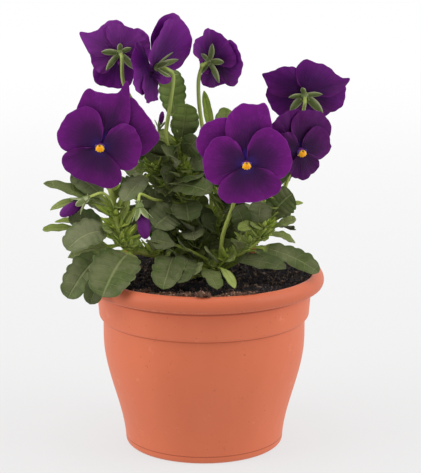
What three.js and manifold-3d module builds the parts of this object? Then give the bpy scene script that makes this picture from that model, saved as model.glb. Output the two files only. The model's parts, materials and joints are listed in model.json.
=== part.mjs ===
// A potted pansy: seven dark violet flowers, three buds and toothed leaves on leafy shoots that
// grow from the compost in a plain plastic pot. Millimetres, +Z up, the front looks towards -Y,
// and the origin is the middle of the pot's underside.
import * as THREE from 'three';
import { mergeVertices } from 'three/addons/utils/BufferGeometryUtils.js';
import Module from 'manifold-3d';

const wasm = await Module();
wasm.setup();

// Pot sizes
const POT_SIDES = 24;
const PAD_RADIUS = 12;
const FOOT_INNER = 36;
const FOOT_RADIUS = 43;
const RECESS = 1.5;
const BELLY_RADIUS = 54.8;
const BELLY_HEIGHT = 60;
const BELLY_STEP = 20;
const WALL = 1.8;
const FLOOR = 3.3;
const DRAIN_RADIUS = 3.2;
const DRAIN_RING = 25;
const DRAIN_COUNT = 6;
const LIP_RADIUS = 58.4;

// Compost sizes
const FIT = 0.3;
const SOIL_TOP = 91.3;
const SOIL_EDGE = 94.2;
const SOIL_GAP = 0.7;
const SOIL_RADIUS = LIP_RADIUS - SOIL_GAP;
const SOIL_SIDES = 24;

// Thin parts of the plant
const LEAF_THICKNESS = 0.7;
const NARROW = 15;
const PETIOLE_HALF = 0.75;
const SEPAL_THICKNESS = 0.65;
const PETAL_THICKNESS = 0.62;
const THROAT_RADIUS = 2.2;
const THROAT_BACK = 1.6;
const THROAT_FRONT = 0.4;
const CALYX_RADIUS = 2.3;

// Finishes
const finish = (color, roughness) => new THREE.MeshStandardMaterial({
  color, roughness, metalness: 0, side: THREE.FrontSide,
});
const potPlastic = () => finish('#d2744f', 0.6);
const compost = () => finish('#2c2320', 0.95);
const leafGreen = () => finish('#5d6f3e', 0.7);
const petalViolet = () => finish('#4a1266', 0.8);
const eyeYellow = () => finish('#e8a51c', 0.6);

const UP = new THREE.Vector3(0, 0, 1);
const vec = (p) => new THREE.Vector3(p[0], p[1], p[2]);
const mix = (a, b, t) => a + (b - a) * t;
const smooth = (t) => {
  const c = Math.min(1, Math.max(0, t));
  return c * c * (3 - 2 * c);
};

// Solids

function solidOf(geometry) {
  geometry.deleteAttribute('normal');
  geometry.deleteAttribute('uv');
  const merged = mergeVertices(geometry, 1e-4);
  return new wasm.Manifold(new wasm.Mesh({
    numProp: 3,
    vertProperties: Float32Array.from(merged.attributes.position.array),
    triVerts: Uint32Array.from(merged.index.array),
  }));
}

function meshOf(name, solid, material) {
  const { vertProperties, triVerts } = solid.getMesh();
  const geometry = new THREE.BufferGeometry();
  geometry.setAttribute('position', new THREE.BufferAttribute(vertProperties, 3));
  geometry.setIndex(new THREE.BufferAttribute(triVerts, 1));
  geometry.computeVertexNormals();
  const mesh = new THREE.Mesh(geometry, material);
  mesh.name = name;
  return mesh;
}

// Joins solids and drops any loose scrap that a cut has left.
function join(solids) {
  const whole = solids.reduce((sum, solid) => sum.add(solid));
  return whole.decompose().reduce((a, b) => (b.volume() > a.volume() ? b : a));
}

function closed(points, triangles) {
  const geometry = new THREE.BufferGeometry();
  const numbers = points.flatMap((p) => [p.x, p.y, p.z]);
  geometry.setAttribute('position', new THREE.Float32BufferAttribute(numbers, 3));
  geometry.setIndex(triangles);
  return solidOf(geometry);
}

// The triangles between two rows of points, which may differ in number.
function stitch(near, far) {
  const triangles = [];
  const share = (k, row) => (k + 1) / Math.max(1, row.length - 1);
  let i = 0;
  let j = 0;
  while (i < near.length - 1 || j < far.length - 1) {
    if (j === far.length - 1 || (i < near.length - 1 && share(i, near) <= share(j, far))) {
      triangles.push([near[i], near[i + 1], far[j]]);
      i += 1;
    } else {
      triangles.push([near[i], far[j + 1], far[j]]);
      j += 1;
    }
  }
  return triangles;
}

// A thin closed sheet over rows of points. Both faces are split into triangles alike.
function sheet(rows, thickness) {
  const points = rows.flat();
  const counts = rows.map((row) => row.length);
  const ids = rows.map((row, i) => {
    const first = counts.slice(0, i).reduce((sum, count) => sum + count, 0);
    return row.map((_, j) => first + j);
  });
  const surface = ids.slice(1).flatMap((row, i) => stitch(ids[i], row));
  const normals = points.map(() => new THREE.Vector3());
  for (const corners of surface) {
    const [a, b, c] = corners.map((id) => points[id]);
    const normal = b.clone().sub(a).cross(c.clone().sub(a));
    for (const id of corners) normals[id].add(normal);
  }
  for (const normal of normals) normal.setLength(thickness / 2);
  const front = points.map((p, id) => p.clone().add(normals[id]));
  const back = points.map((p, id) => p.clone().sub(normals[id]));
  const under = points.length;
  const triangles = surface.flatMap(([a, b, c]) => [a, b, c, under + a, under + c, under + b]);
  const last = ids[ids.length - 1];
  const rightSide = ids.slice(0, -1).map((row) => row[row.length - 1]);
  const leftSide = ids.slice(1).map((row) => row[0]).reverse();
  const rim = [...ids[0].slice(0, -1), ...rightSide, ...last.slice(1).reverse(), ...leftSide];
  rim.forEach((p, k) => {
    const q = rim[(k + 1) % rim.length];
    triangles.push(p, under + p, under + q, p, under + q, q);
  });
  return closed([...front, ...back], triangles);
}

// A round bar along a path, its radius going from one end's to the other's, with domed ends.
function bar(path, startRadius, endRadius, sides, steps, end = 1) {
  const points = [];
  const triangles = [];
  const normal = new THREE.Vector3(0.31, -0.27, 0.91);
  for (let i = 0; i <= steps; i += 1) {
    const centre = path.getPoint((end * i) / steps);
    const tangent = path.getTangent((end * i) / steps);
    normal.addScaledVector(tangent, -normal.dot(tangent)).normalize();
    const side = tangent.clone().cross(normal);
    const radius = mix(startRadius, endRadius, i / steps);
    for (let j = 0; j < sides; j += 1) {
      const angle = (2 * Math.PI * j) / sides;
      points.push(centre.clone()
        .addScaledVector(normal, radius * Math.cos(angle))
        .addScaledVector(side, radius * Math.sin(angle)));
    }
  }
  for (let i = 0; i < steps; i += 1) {
    for (let j = 0; j < sides; j += 1) {
      const k = (j + 1) % sides;
      const [a, b, c, d] = [i * sides + j, i * sides + k, (i + 1) * sides + k, (i + 1) * sides + j];
      triangles.push(a, b, c, a, c, d);
    }
  }
  const start = points.length;
  points.push(path.getPoint(0).addScaledVector(path.getTangent(0), -0.4 * startRadius));
  points.push(path.getPoint(end).addScaledVector(path.getTangent(end), 0.4 * endRadius));
  for (let j = 0; j < sides; j += 1) {
    const k = (j + 1) % sides;
    triangles.push(start, k, j, start + 1, steps * sides + j, steps * sides + k);
  }
  return closed(points, triangles);
}

const pathThrough = (points) => new THREE.CatmullRomCurve3(points.map(vec), false, 'catmullrom', 0.5);

// Pot: the foot stands on an outer ring and a middle pad, with a shallow recess between them.
const bellyRadius = (z) => mix(FOOT_RADIUS, BELLY_RADIUS, smooth(z / BELLY_HEIGHT));

function pot() {
  const outside = [[0, 0], [PAD_RADIUS, 0], [PAD_RADIUS + 1, RECESS], [FOOT_INNER, RECESS],
    [FOOT_INNER + 1, 0], [FOOT_RADIUS - 1.5, 0], [FOOT_RADIUS, 1.5]];
  for (let z = BELLY_STEP; z <= BELLY_HEIGHT; z += BELLY_STEP) outside.push([bellyRadius(z), z]);
  const collar = [[55.3, 70.2], [57, 71.9], [58.1, 84.8]];
  const rim = [[64.3, 89], [65, 91.2], [64.2, 94.8], [62, 96.8], [59.6, 96.6], [LIP_RADIUS, 94.6]];
  const inside = [[LIP_RADIUS, 91], [56.2, 83], [55.6, 73], [53.4, 69]];
  for (let z = BELLY_HEIGHT - BELLY_STEP; z > 0; z -= BELLY_STEP) inside.push([bellyRadius(z) - WALL, z]);
  inside.push([FOOT_RADIUS - WALL, FLOOR], [0, FLOOR]);
  const profile = [...outside, ...collar, ...rim, ...inside].map(([r, z]) => new THREE.Vector2(r, z));
  const shell = solidOf(new THREE.LatheGeometry(profile, POT_SIDES).rotateX(Math.PI / 2));
  const drains = Array.from({ length: DRAIN_COUNT }, (_, k) => {
    const angle = (2 * Math.PI * k) / DRAIN_COUNT;
    return solidOf(new THREE.CylinderGeometry(DRAIN_RADIUS, DRAIN_RADIUS, 2 * FLOOR + 2, 6)
      .rotateX(Math.PI / 2)
      .translate(DRAIN_RING * Math.cos(angle), DRAIN_RING * Math.sin(angle), FLOOR / 2));
  });
  return drains.reduce((body, drain) => body.subtract(drain), shell);
}

// Compost: a plug that fills the pot, higher along the front lip, with a lumpy top.
const soilBump = (x, y) => {
  const slope = -0.01 * y;
  const lumps = 0.8 * Math.sin(0.23 * x + 1) * Math.cos(0.19 * y) + 0.6 * Math.sin(0.37 * y - 0.31 * x);
  return slope + lumps;
};

function soil(roots) {
  const wall = (z) => [bellyRadius(z) - WALL - SOIL_GAP, z];
  const profile = [[0, FLOOR + FIT], [FOOT_RADIUS - WALL - SOIL_GAP, FLOOR + FIT], wall(20), wall(40),
    [52.4, 67], [54.8, 73.5], [55.4, 82.8], [SOIL_RADIUS, 90.6], [SOIL_RADIUS, SOIL_EDGE],
    [45, SOIL_EDGE - 0.8], [24, SOIL_TOP], [0, SOIL_TOP + 0.8]];
  const plug = new THREE.LatheGeometry(profile.map(([r, z]) => new THREE.Vector2(r, z)), SOIL_SIDES)
    .rotateX(Math.PI / 2);
  const points = plug.attributes.position;
  for (let i = 0; i < points.count; i += 1) {
    if (points.getZ(i) > SOIL_TOP - 0.5) {
      points.setZ(i, points.getZ(i) + soilBump(points.getX(i), points.getY(i)));
    }
  }
  return roots.reduce((body, root) => body.subtract(root), solidOf(plug));
}

// Shoots: each stem goes from its root, or from the stem that it branches off, to its top.
// Places on it are counted by its points, so 2.5 is half way from point 2 to point 3.
const STEMS = {
  left: {
    points: [[-6, -3, 78], [-6, -3, 93.5], [-15, -8, 103], [-28, -14, 108], [-41, -18, 113],
      [-46, -17, 122], [-47, -15, 133], [-50, -13, 145]],
    start: 2.2, end: 1.3,
  },
  centre: {
    points: [[-2, 3, 78], [-3, 2, 94], [-8, 2, 118], [-11, 2, 136], [-13, 2, 152], [-14, 3, 166]],
    start: 2.1, end: 1.2,
  },
  middleLeft: {
    points: [[-3, 2, 96], [-12, 4, 106], [-18, 4, 120], [-22, 4, 136], [-26, 3, 150], [-28, 4, 158]],
    start: 1.8, end: 1.2,
  },
  behind: {
    points: [[-4, 2, 97], [4, 5, 106], [9, 4, 118], [9, 5, 134], [8, 6, 150], [5, 6, 162]],
    start: 1.8, end: 1.1,
  },
  right: {
    points: [[4, -6, 78], [4, -6, 93.5], [11, -10, 103], [21, -14, 110], [30, -14, 118], [34, -11, 127],
      [37, -8, 137]],
    start: 2.1, end: 1.2,
  },
  back: {
    points: [[1, 14, 78], [1, 14, 93.5], [3, 20, 110], [4, 24, 130], [2, 25, 148]],
    start: 2, end: 1.1,
  },
  backLeft: {
    points: [[1, 14, 95], [-11, 20, 104], [-25, 26, 115], [-33, 28, 134]],
    start: 1.6, end: 1.1,
  },
  backRight: {
    points: [[1, 15, 96], [14, 20, 104], [28, 23, 115], [37, 23, 133]],
    start: 1.6, end: 1.1,
  },
};

const SHOOTS = {
  left: ['left'],
  middle: ['centre', 'middleLeft', 'behind'],
  right: ['right'],
  back: ['back', 'backLeft', 'backRight'],
};
const ROOTED = ['left', 'centre', 'right', 'back'];

const stemPath = (name) => pathThrough(STEMS[name].points);
const placeOn = (name, at) => stemPath(name).getPoint(at / (STEMS[name].points.length - 1));
const spans = (name) => STEMS[name].points.length - 1;

// Leaf outlines: how fast the half width grows from the base and falls towards the tip, and how
// deep the notches between the teeth are.
const OUTLINES = {
  oval: { grow: 0.55, fall: 0.42, notch: 0.15 },
  long: { grow: 0.75, fall: 0.6, notch: 0.12 },
  spoon: { grow: 1.3, fall: 0.45, notch: 0.1 },
  comb: { grow: 0.45, fall: 0.7, notch: 0.72 },
};

function halfWidth(leaf, s) {
  const { grow, fall, notch } = OUTLINES[leaf.outline];
  const peak = grow / (grow + fall);
  const full = peak ** grow * (1 - peak) ** fall;
  const body = (s ** grow * (1 - s) ** fall) / full;
  const teeth = 1 - notch * (1 - Math.abs(Math.sin(Math.PI * leaf.teeth * s)));
  return 0.5 * leaf.wide * body * teeth;
}

// A leaf is a sheet along a curved midrib from its stem to its tip: a narrow stalk, then the
// blade, folded up a little on both sides of the midrib and wavy along its edges. A narrow leaf
// is flat across.
function leafRows(leaf) {
  const base = placeOn(leaf.on, leaf.at);
  const tip = vec(leaf.tip);
  const bow = base.clone().lerp(tip, 0.5).addScaledVector(UP, leaf.rise);
  const midrib = new THREE.QuadraticBezierCurve3(base, bow, tip);
  const face = vec(leaf.face).normalize();
  const stations = [0, 0.5 * (1 - leaf.blade)];
  const steps = 2 * leaf.teeth;
  for (let k = 0; k <= steps; k += 1) stations.push(1 - leaf.blade + (leaf.blade * k) / steps);
  return stations.map((u) => {
    const s = Math.max(0, (u - 1 + leaf.blade) / leaf.blade);
    const half = Math.max(PETIOLE_HALF, halfWidth(leaf, s));
    let columns = leaf.wide > NARROW && s > 0 ? [-1, 0, 1] : [-1, 1];
    if (s === 1) columns = [0];
    const along = midrib.getTangent(u);
    const across = along.clone().cross(face).normalize();
    const normal = across.clone().cross(along);
    const wave = 0.09 * Math.sin(3 * Math.PI * s + leaf.tip[0]);
    return columns.map((v) => midrib.getPoint(u)
      .addScaledVector(across, half * v)
      .addScaledVector(normal, half * (leaf.fold * Math.abs(v) + wave * v)));
  });
}

const leaf = (on, at, tip, wide, more = {}) => ({
  on,
  at,
  tip,
  wide,
  face: [0, -0.5, 1],
  rise: 4,
  blade: 0.7,
  teeth: wide < 12 ? 2 : 3,
  outline: 'oval',
  fold: 0.2,
  ...more,
});

const LEAVES = {
  left: [
    leaf('left', 6, [-84, -22, 148], 10, { outline: 'long', blade: 0.85, rise: 3 }),
    leaf('left', 5.9, [-70, -14, 152], 14, { face: [0, -0.8, 0.8] }),
    leaf('left', 6.7, [-66, 2, 152], 13),
    leaf('left', 5.7, [-81, -19, 133], 6, { outline: 'long', teeth: 2, rise: 12 }),
    leaf('left', 5.1, [-79, -16, 126], 5, { outline: 'long', teeth: 2 }),
    leaf('left', 4.8, [-85, -22, 123], 6.5, { outline: 'spoon', blade: 0.55, teeth: 2 }),
    leaf('left', 4.6, [-71, -38, 116], 17, { face: [-0.2, -1, 0.6], rise: 12, blade: 0.75, teeth: 4 }),
    leaf('left', 5, [-71, -25, 129], 13, { face: [0, -0.8, 0.7] }),
    leaf('left', 3.6, [-52, -54, 95], 26, { face: [-0.05, -1, 0.8], rise: 10, blade: 0.8, teeth: 5 }),
    leaf('left', 4.2, [-71, -38, 90], 18, { face: [-0.3, -1, 0.5], rise: 13, blade: 0.6, teeth: 4 }),
    leaf('left', 3.8, [-59, -46, 89], 12, { face: [-0.1, -1, 0.4], rise: 15, blade: 0.38 }),
    leaf('left', 4.1, [-72, -22, 108], 9, { outline: 'comb', face: [0, -1, 0.4] }),
    leaf('left', 4.7, [-39, -20, 140], 6, { outline: 'long', teeth: 2 }),
    leaf('left', 4.4, [-35, -22, 135], 5, { outline: 'long', teeth: 2 }),
    leaf('left', 5.2, [-60, 6, 134], 13),
    leaf('left', 4.5, [-34, -8, 131], 11, { face: [0, -0.9, 0.6] }),
    leaf('left', 3.2, [-46, 8, 122], 14, { face: [0, 0.3, 1] }),
  ],
  middle: [
    leaf('middleLeft', 3.3, [4, -27, 144], 13, { face: [0, -0.9, 0.7], rise: 5, blade: 0.86 }),
    leaf('centre', 2.6, [-26, -20, 124], 18, { face: [0, -1, 0.6], teeth: 4 }),
    leaf('centre', 2.9, [-8, -22, 128], 17, { face: [0, -1, 0.5] }),
    leaf('centre', 2, [-5, -20, 117], 13, { face: [0, -1, 0.4] }),
    leaf('middleLeft', 1.2, [-21, -50, 98], 17, { rise: 6, face: [0, -0.9, 0.8], teeth: 4 }),
    leaf('centre', 1.4, [-13, -45, 100], 13, { rise: 8, face: [0.1, -0.8, 0.8] }),
    leaf('centre', 1.2, [-6, -37, 102], 10, { rise: 7 }),
    leaf('centre', 1.1, [7, -52, 98.5], 10, { rise: 8, blade: 0.62, face: [0.2, -0.7, 1] }),
    leaf('behind', 1.2, [20, -8, 124], 12, { face: [0.2, -1, 0.4] }),
    leaf('behind', 3, [12, -8, 150], 15, { face: [0, -1, 0.2] }),
    leaf('behind', 2.6, [15, -10, 133], 11, { face: [0, -1, 0.3] }),
    leaf('centre', 4.8, [-18, 9, 204], 15, { face: [0, -1, 0.2], rise: 0, blade: 0.62, teeth: 5 }),
    leaf('centre', 4.4, [-9, -8, 188], 15, { face: [0.2, -1, 0.2], rise: 0, teeth: 4 }),
    leaf('centre', 4.6, [-3, -3, 179], 7, { face: [0, -1, 0.3], outline: 'long', teeth: 2 }),
    leaf('behind', 4.6, [0, -2, 176], 8, { face: [0, -1, 0.4], outline: 'long', teeth: 2 }),
    leaf('behind', 4.3, [0, 12, 192], 5, { face: [0, -1, 0.2], outline: 'long', teeth: 2, rise: 0 }),
    leaf('middleLeft', 3.9, [-42, 2, 190], 10, { face: [0.3, -1, 0.3], outline: 'spoon', rise: 2 }),
    leaf('middleLeft', 4.5, [-29, -6, 178], 7, { face: [0, -1, 0.3], outline: 'long', teeth: 2 }),
    leaf('middleLeft', 3.8, [-27, -12, 170], 14, { face: [0, -1, 0.4] }),
    leaf('middleLeft', 4, [-42, -25, 139], 12, { face: [-0.1, -0.9, 0.8] }),
    leaf('middleLeft', 4.3, [-42, -2, 164], 14, { face: [0, -0.8, 0.8] }),
    leaf('middleLeft', 3.3, [-42, -14, 141], 17, { face: [-0.2, -0.9, 0.8], teeth: 4 }),
    leaf('behind', 4.9, [13, 14, 182], 9, { face: [0, -1, 0.5] }),
    leaf('middleLeft', 2.2, [-38, 12, 128], 15, { face: [-0.2, 0.4, 1] }),
    leaf('centre', 3.6, [6, -10, 162], 13, { face: [0.2, -0.9, 0.6] }),
    leaf('centre', 3.9, [-20, -18, 163], 14, { face: [-0.1, -0.9, 0.6] }),
    leaf('centre', 4, [-3, -11, 170], 12, { face: [0, -1, 0.4] }),
    leaf('centre', 3.2, [-23, -7, 151], 12, { face: [0, -1, 0.5] }),
    leaf('behind', 2, [0, -9, 122], 12, { face: [0, -1, 0.4] }),
    leaf('behind', 2.3, [22, -3, 133], 13, { face: [0.2, -1, 0.5] }),
  ],
  right: [
    leaf('right', 1.6, [-28, -26, 119], 11, { outline: 'spoon', blade: 0.4, rise: 5, face: [0, -1, 0.6] }),
    leaf('right', 1.5, [16, -50, 98.5], 5.5, { rise: 6, outline: 'long', teeth: 2 }),
    leaf('right', 2.1, [43, -34, 105], 11, { rise: 4, outline: 'long', face: [0, -0.8, 1], blade: 0.85 }),
    leaf('right', 2.9, [43, -20, 106], 12, { rise: 5 }),
    leaf('right', 3.3, [60.5, -28, 101.5], 12.5, { rise: 6, blade: 0.8, teeth: 5, face: [0.1, -0.8, 0.9] }),
    leaf('right', 4, [49, -4, 112], 8, { outline: 'long', teeth: 2 }),
    leaf('right', 3.6, [49, -14, 127], 7.5, { outline: 'spoon', teeth: 2, blade: 0.6 }),
    leaf('right', 6, [45, -1, 161], 12, { face: [-0.2, -1, 0.3], blade: 0.8 }),
    leaf('right', 4.6, [47, -14, 141], 17, { face: [0, -1, 0.4], teeth: 4, blade: 0.8 }),
    leaf('right', 5, [53, -5, 134], 4, { outline: 'long', teeth: 2 }),
    leaf('right', 3.4, [17, -22, 136], 11, { face: [0, -1, 0.3] }),
    leaf('right', 3.8, [30, -20, 138], 13, { face: [0, -1, 0.3] }),
    leaf('right', 4.4, [18, -26, 124], 7, { face: [0, -1, 0.8], outline: 'long', teeth: 2 }),
    leaf('right', 4.4, [47, 14, 115], 13, { face: [0.3, 0.1, 1] }),
    leaf('right', 5.9, [30, -2, 160], 10, { face: [0, -1, 0.3] }),
  ],
  back: [],
};

// Leaves that the front view hides grow up their stem in a spiral, each a golden angle further.
const GOLDEN_ANGLE = 2.4;
const SPIRALS = [
  { shoot: 'back', on: 'back', count: 5, first: 1.6 },
  { shoot: 'back', on: 'backLeft', count: 5, first: 2.6 },
  { shoot: 'back', on: 'backRight', count: 5, first: 0.4 },
];
for (const { shoot, on, count, first } of SPIRALS) {
  for (let k = 0; k < count; k += 1) {
    const share = k / (count - 1);
    const at = mix(0.3 * spans(on), 0.98 * spans(on), share);
    const reach = mix(27, 17, share);
    const angle = first + 1.3 * Math.sin(GOLDEN_ANGLE * k);
    const tip = placeOn(on, at).toArray();
    tip[0] += reach * Math.cos(angle);
    tip[1] += reach * Math.sin(angle);
    tip[2] += mix(12, 20, share);
    LEAVES[shoot].push(leaf(on, at, tip, mix(23, 15, share), { face: [0, -0.4, 1], rise: 3, teeth: 2 }));
  }
}

// Flowers: the stalk leaves a stem, goes through its own points and ends behind the throat. The
// petals are the two upper ones, the two at the sides and the lowest, each with its turn from
// the top in degrees, its reach, its width and its slope to the front. Then come the corners in
// its edge: where each is, from -1 to 1 across the petal, and how far it juts. A flower that
// shows its back gives the turn, length and width of each of its sepals.
const FLOWERS = [
  {
    name: 'flower_front_left', shoot: 'left', from: ['left', 4.6],
    stalk: [[-44, -6, 131], [-47, 1, 145], [-52, 2, 158]],
    centre: [-54, -20, 167], faces: [-0.05, -1, -0.05],
    petals: [
      [56, 29.5, 33, -0.1, [0.32, 0.12], [-0.3, 0.05]],
      [5, 28.5, 28, -0.08, [-0.26, 0.13], [0.32, 0.42]],
      [-50, 24, 27, 0.03],
      [90, 21.5, 25, 0.03],
      [202, 21, 33, 0.03],
    ],
  },
  {
    name: 'flower_top_left', shoot: 'middle', from: ['middleLeft', 4.7],
    stalk: [[-31, 8, 170], [-37, 10, 184], [-43, 9, 197]],
    centre: [-46, 15, 213], faces: [-0.25, 0.93, 0.15],
    sepals: [[0, 5, 3], [82, 10, 3.6], [138, 11, 3.6], [224, 12, 3.8], [296, 6, 3]],
    petals: [
      [-30, 14.5, 26, -0.02, [-0.42, 0.12]],
      [43, 17.5, 24, -0.02, [0.25, 0.4]],
      [-84, 18, 22, -0.02],
      [98, 15.5, 22, -0.02],
      [171, 22, 23, -0.02],
    ],
  },
  {
    name: 'flower_top_middle', shoot: 'middle', from: ['centre', 4.2],
    stalk: [[-20, -4, 168], [-18, -4, 186], [-16, -8, 202]],
    centre: [-28, -8, 207], faces: [-0.9, 0.35, -0.1], sweep: 0.8,
    petals: [
      [14, 25, 30, -0.51],
      [-42, 27, 38, -0.52],
      [84, 14, 28, 0.3],
      [-96, 18, 18, -0.3],
      [180, 19, 22, 0],
    ],
  },
  {
    name: 'flower_top_centre', shoot: 'middle', from: ['behind', 3.4],
    stalk: [[2, 6, 160], [-2, 7, 180], [-3, 8, 197], [-1, 9, 206]],
    centre: [5, 13, 208], faces: [0.62, 0.78, 0.05],
    sepals: [[-26, 11, 4], [42, 5, 3], [140, 8, 3.4], [222, 13, 4.2], [276, 12, 3.6]],
    petals: [
      [-38, 17, 26, -0.04],
      [24, 14.5, 20, -0.04],
      [-92, 20, 25, -0.04],
      [86, 9, 16, -0.04],
      [200, 14.5, 25, -0.04],
    ],
  },
  {
    name: 'flower_top_right', shoot: 'right', from: ['right', 4.2],
    stalk: [[40, 3, 132], [48, 8, 154], [52, 9, 174]],
    centre: [54, 9, 192], faces: [0.05, 0.9, 0.42],
    sepals: [[14, 5.6, 3], [90, 8, 3], [137, 11, 4.4], [226, 13, 5], [284, 9, 3.2]],
    petals: [
      [-38, 21, 28, -0.03, [-0.36, 0.3], [0.4, 0.1]],
      [56, 22, 20, -0.03, [0.1, 0.16]],
      [-96, 22, 24, 0],
      [112, 21, 24, 0],
      [192, 20, 26, 0],
    ],
  },
  {
    name: 'flower_front_right', shoot: 'right', from: ['right', 1.7],
    stalk: [[10, -13, 118], [15, -17, 134], [19, -16, 148]],
    centre: [22, -32, 160], faces: [0.05, -1, -0.05],
    petals: [
      [-49, 29.5, 25, -0.08],
      [4, 31.5, 24, -0.08, [0.25, 0.1]],
      [-80, 22.5, 26, 0.03],
      [66, 24, 28, 0.03],
      [172, 21, 33, 0.03],
    ],
  },
  {
    name: 'flower_right', shoot: 'right', from: ['right', 5],
    stalk: [[41, -4, 136], [46, 0, 150], [48, 2, 160]],
    centre: [51, -11, 163], faces: [0.35, -0.9, -0.2],
    petals: [
      [-28, 23, 24, -0.08],
      [26, 23, 24, -0.08],
      [-80, 17, 20, 0],
      [66, 17.5, 19, 0, [0.3, 0.08]],
      [164, 15, 17, 0.1, [0.05, 0.08]],
    ],
  },
];

const BUDS = [
  {
    name: 'bud_left', shoot: 'left', from: ['left', 6.2], stalk: [[-53, -18, 142]],
    base: [-60, -23, 141], tip: [-75, -28, 132], wide: 11,
  },
  {
    name: 'bud_hanging', shoot: 'middle', from: ['middleLeft', 2.8],
    stalk: [[-27, -14, 138], [-33, -25, 143]],
    base: [-34, -29, 140], tip: [-30, -34, 121], wide: 12,
  },
  {
    name: 'bud_upper', shoot: 'middle', from: ['middleLeft', 4.95], stalk: [],
    base: [-24, 4, 172], tip: [-22, 4, 182], wide: 5,
  },
];

// A flower or bud looks along its own direction. Angles round it are counted from its top.
function lookAlong(direction) {
  const out = direction.clone().normalize();
  const right = UP.clone().cross(out).normalize();
  const top = out.clone().cross(right);
  const turned = (degrees) => {
    const angle = THREE.MathUtils.degToRad(degrees);
    return top.clone().multiplyScalar(Math.cos(angle)).addScaledVector(right, Math.sin(angle));
  };
  return { out, right, top, turned };
}

// A petal spreads from the throat like a fan to a rounded edge, in its own layer. One ruffle
// runs through all the layers, so that they lie on each other. The lowest petal is notched.
const PETAL_LAYERS = [-2.15, -1.15, -0.15, -0.15, 0.85];
const PETAL_SPREAD = 0.86;
const CORNER_WIDTH = 0.11;
const RUFFLE = 0.7;
function petalPoint(flower, index, b, t) {
  const [turn, reach, wide, slope, ...corners] = flower.petals[index];
  const { out, turned } = lookAlong(vec(flower.faces));
  const swing = b * Math.PI * PETAL_SPREAD;
  const notch = index === 4 ? 0.06 * Math.max(0, 1 - 4 * Math.abs(b)) : 0;
  const jut = corners.reduce((sum, [place, size]) => (
    sum + size * Math.exp(-(((b - place) / CORNER_WIDTH) ** 2))
  ), 0);
  const length = t * reach * (0.54 + 0.46 * Math.cos(swing) - notch + jut);
  const width = 0.5 * t * wide * Math.sin(swing) * (1 + 0.12 * Math.cos(swing));
  const round = THREE.MathUtils.degToRad(turn) + Math.atan2(width, length);
  const ruffle = RUFFLE * t * t * Math.sin(7 * round);
  return vec(flower.centre)
    .addScaledVector(turned(turn), length)
    .addScaledVector(turned(turn + 90), width)
    .addScaledVector(out, PETAL_LAYERS[index] + slope * length + ruffle);
}

const spread = (count) => Array.from({ length: count }, (_, k) => mix(-1, 1, k / (count - 1)));
const PETAL_ROWS = [[0.05, 2], [0.3, 3], [1, 9]];
const between = (from, to) => new THREE.LineCurve3(from, to);

function petals(flower) {
  const { out, top } = lookAlong(vec(flower.faces));
  const centre = vec(flower.centre);
  const blades = flower.petals.map((_, index) => sheet(
    PETAL_ROWS.map(([t, count]) => spread(count).map((b) => petalPoint(flower, index, b, t))),
    PETAL_THICKNESS,
  ));
  const throat = bar(between(
    centre.clone().addScaledVector(out, -THROAT_BACK),
    centre.clone().addScaledVector(out, THROAT_FRONT),
  ), THROAT_RADIUS, THROAT_RADIUS, 5, 1);
  const spurStart = centre.clone().addScaledVector(top, -4);
  const spur = bar(between(
    spurStart,
    spurStart.clone().addScaledVector(out, -6).addScaledVector(top, -1.4),
  ), 1.2, 1, 5, 1);
  return join([...blades, throat, spur]);
}

const EYE_LIFT = 3;
function eye(flower) {
  const { out, right, top } = lookAlong(vec(flower.faces));
  const place = new THREE.Matrix4().makeBasis(right, top, out)
    .setPosition(vec(flower.centre).addScaledVector(out, EYE_LIFT));
  return solidOf(new THREE.SphereGeometry(1, 7, 3).scale(2.6, 2.2, 1).applyMatrix4(place));
}

// A sepal is a narrow pointed sheet that stands out behind the petals, or lies along a bud.
function sepal(base, outwards, along, length, wide, spread) {
  const side = along.clone().cross(outwards).normalize();
  const rows = [[0, 0.3], [0.5, 1], [1, 0]].map(([t, share]) => {
    const middle = base.clone()
      .addScaledVector(outwards, 0.8 + length * t * Math.sin(spread))
      .addScaledVector(along, length * t * Math.cos(spread) - 0.5 * t * t);
    return (share ? [-0.5, 0.5] : [0]).map((v) => middle.clone().addScaledVector(side, v * wide * share));
  });
  return sheet(rows, SEPAL_THICKNESS);
}

const SEPAL_BACK = 4.1;
const SEPAL_SWEEP = 0.56;
const SEPALS = [0, 68, 130, 230, 292].map((turn) => [turn, 11, 3.6]);
const KNOB_FRONT = 3.7;
const KNOB_BACK = 6;
function calyx(flower) {
  const { out, turned } = lookAlong(vec(flower.faces));
  const centre = vec(flower.centre);
  const back = centre.clone().addScaledVector(out, -SEPAL_BACK);
  const knob = bar(between(
    centre.clone().addScaledVector(out, -KNOB_FRONT),
    centre.clone().addScaledVector(out, -KNOB_BACK),
  ), CALYX_RADIUS, 1.2, 6, 1);
  const sweep = Math.PI * (flower.sweep ?? SEPAL_SWEEP);
  const sepals = (flower.sepals ?? SEPALS).map(([turn, length, wide]) => (
    sepal(back, turned(turn), out, length, wide, sweep)
  ));
  return [knob, ...sepals];
}

function stalkThrough(from, points, radius) {
  const route = [placeOn(...from).toArray(), ...points];
  return bar(pathThrough(route), radius, 0.85 * radius, 5, route.length - 1);
}

function flowerStalk(flower) {
  const { out } = lookAlong(vec(flower.faces));
  const behind = (distance) => vec(flower.centre).addScaledVector(out, -distance);
  const neck = behind(10).addScaledVector(UP, -1.5).toArray();
  return stalkThrough(flower.from, [...flower.stalk, neck, behind(5).toArray()], 1.2);
}

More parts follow.
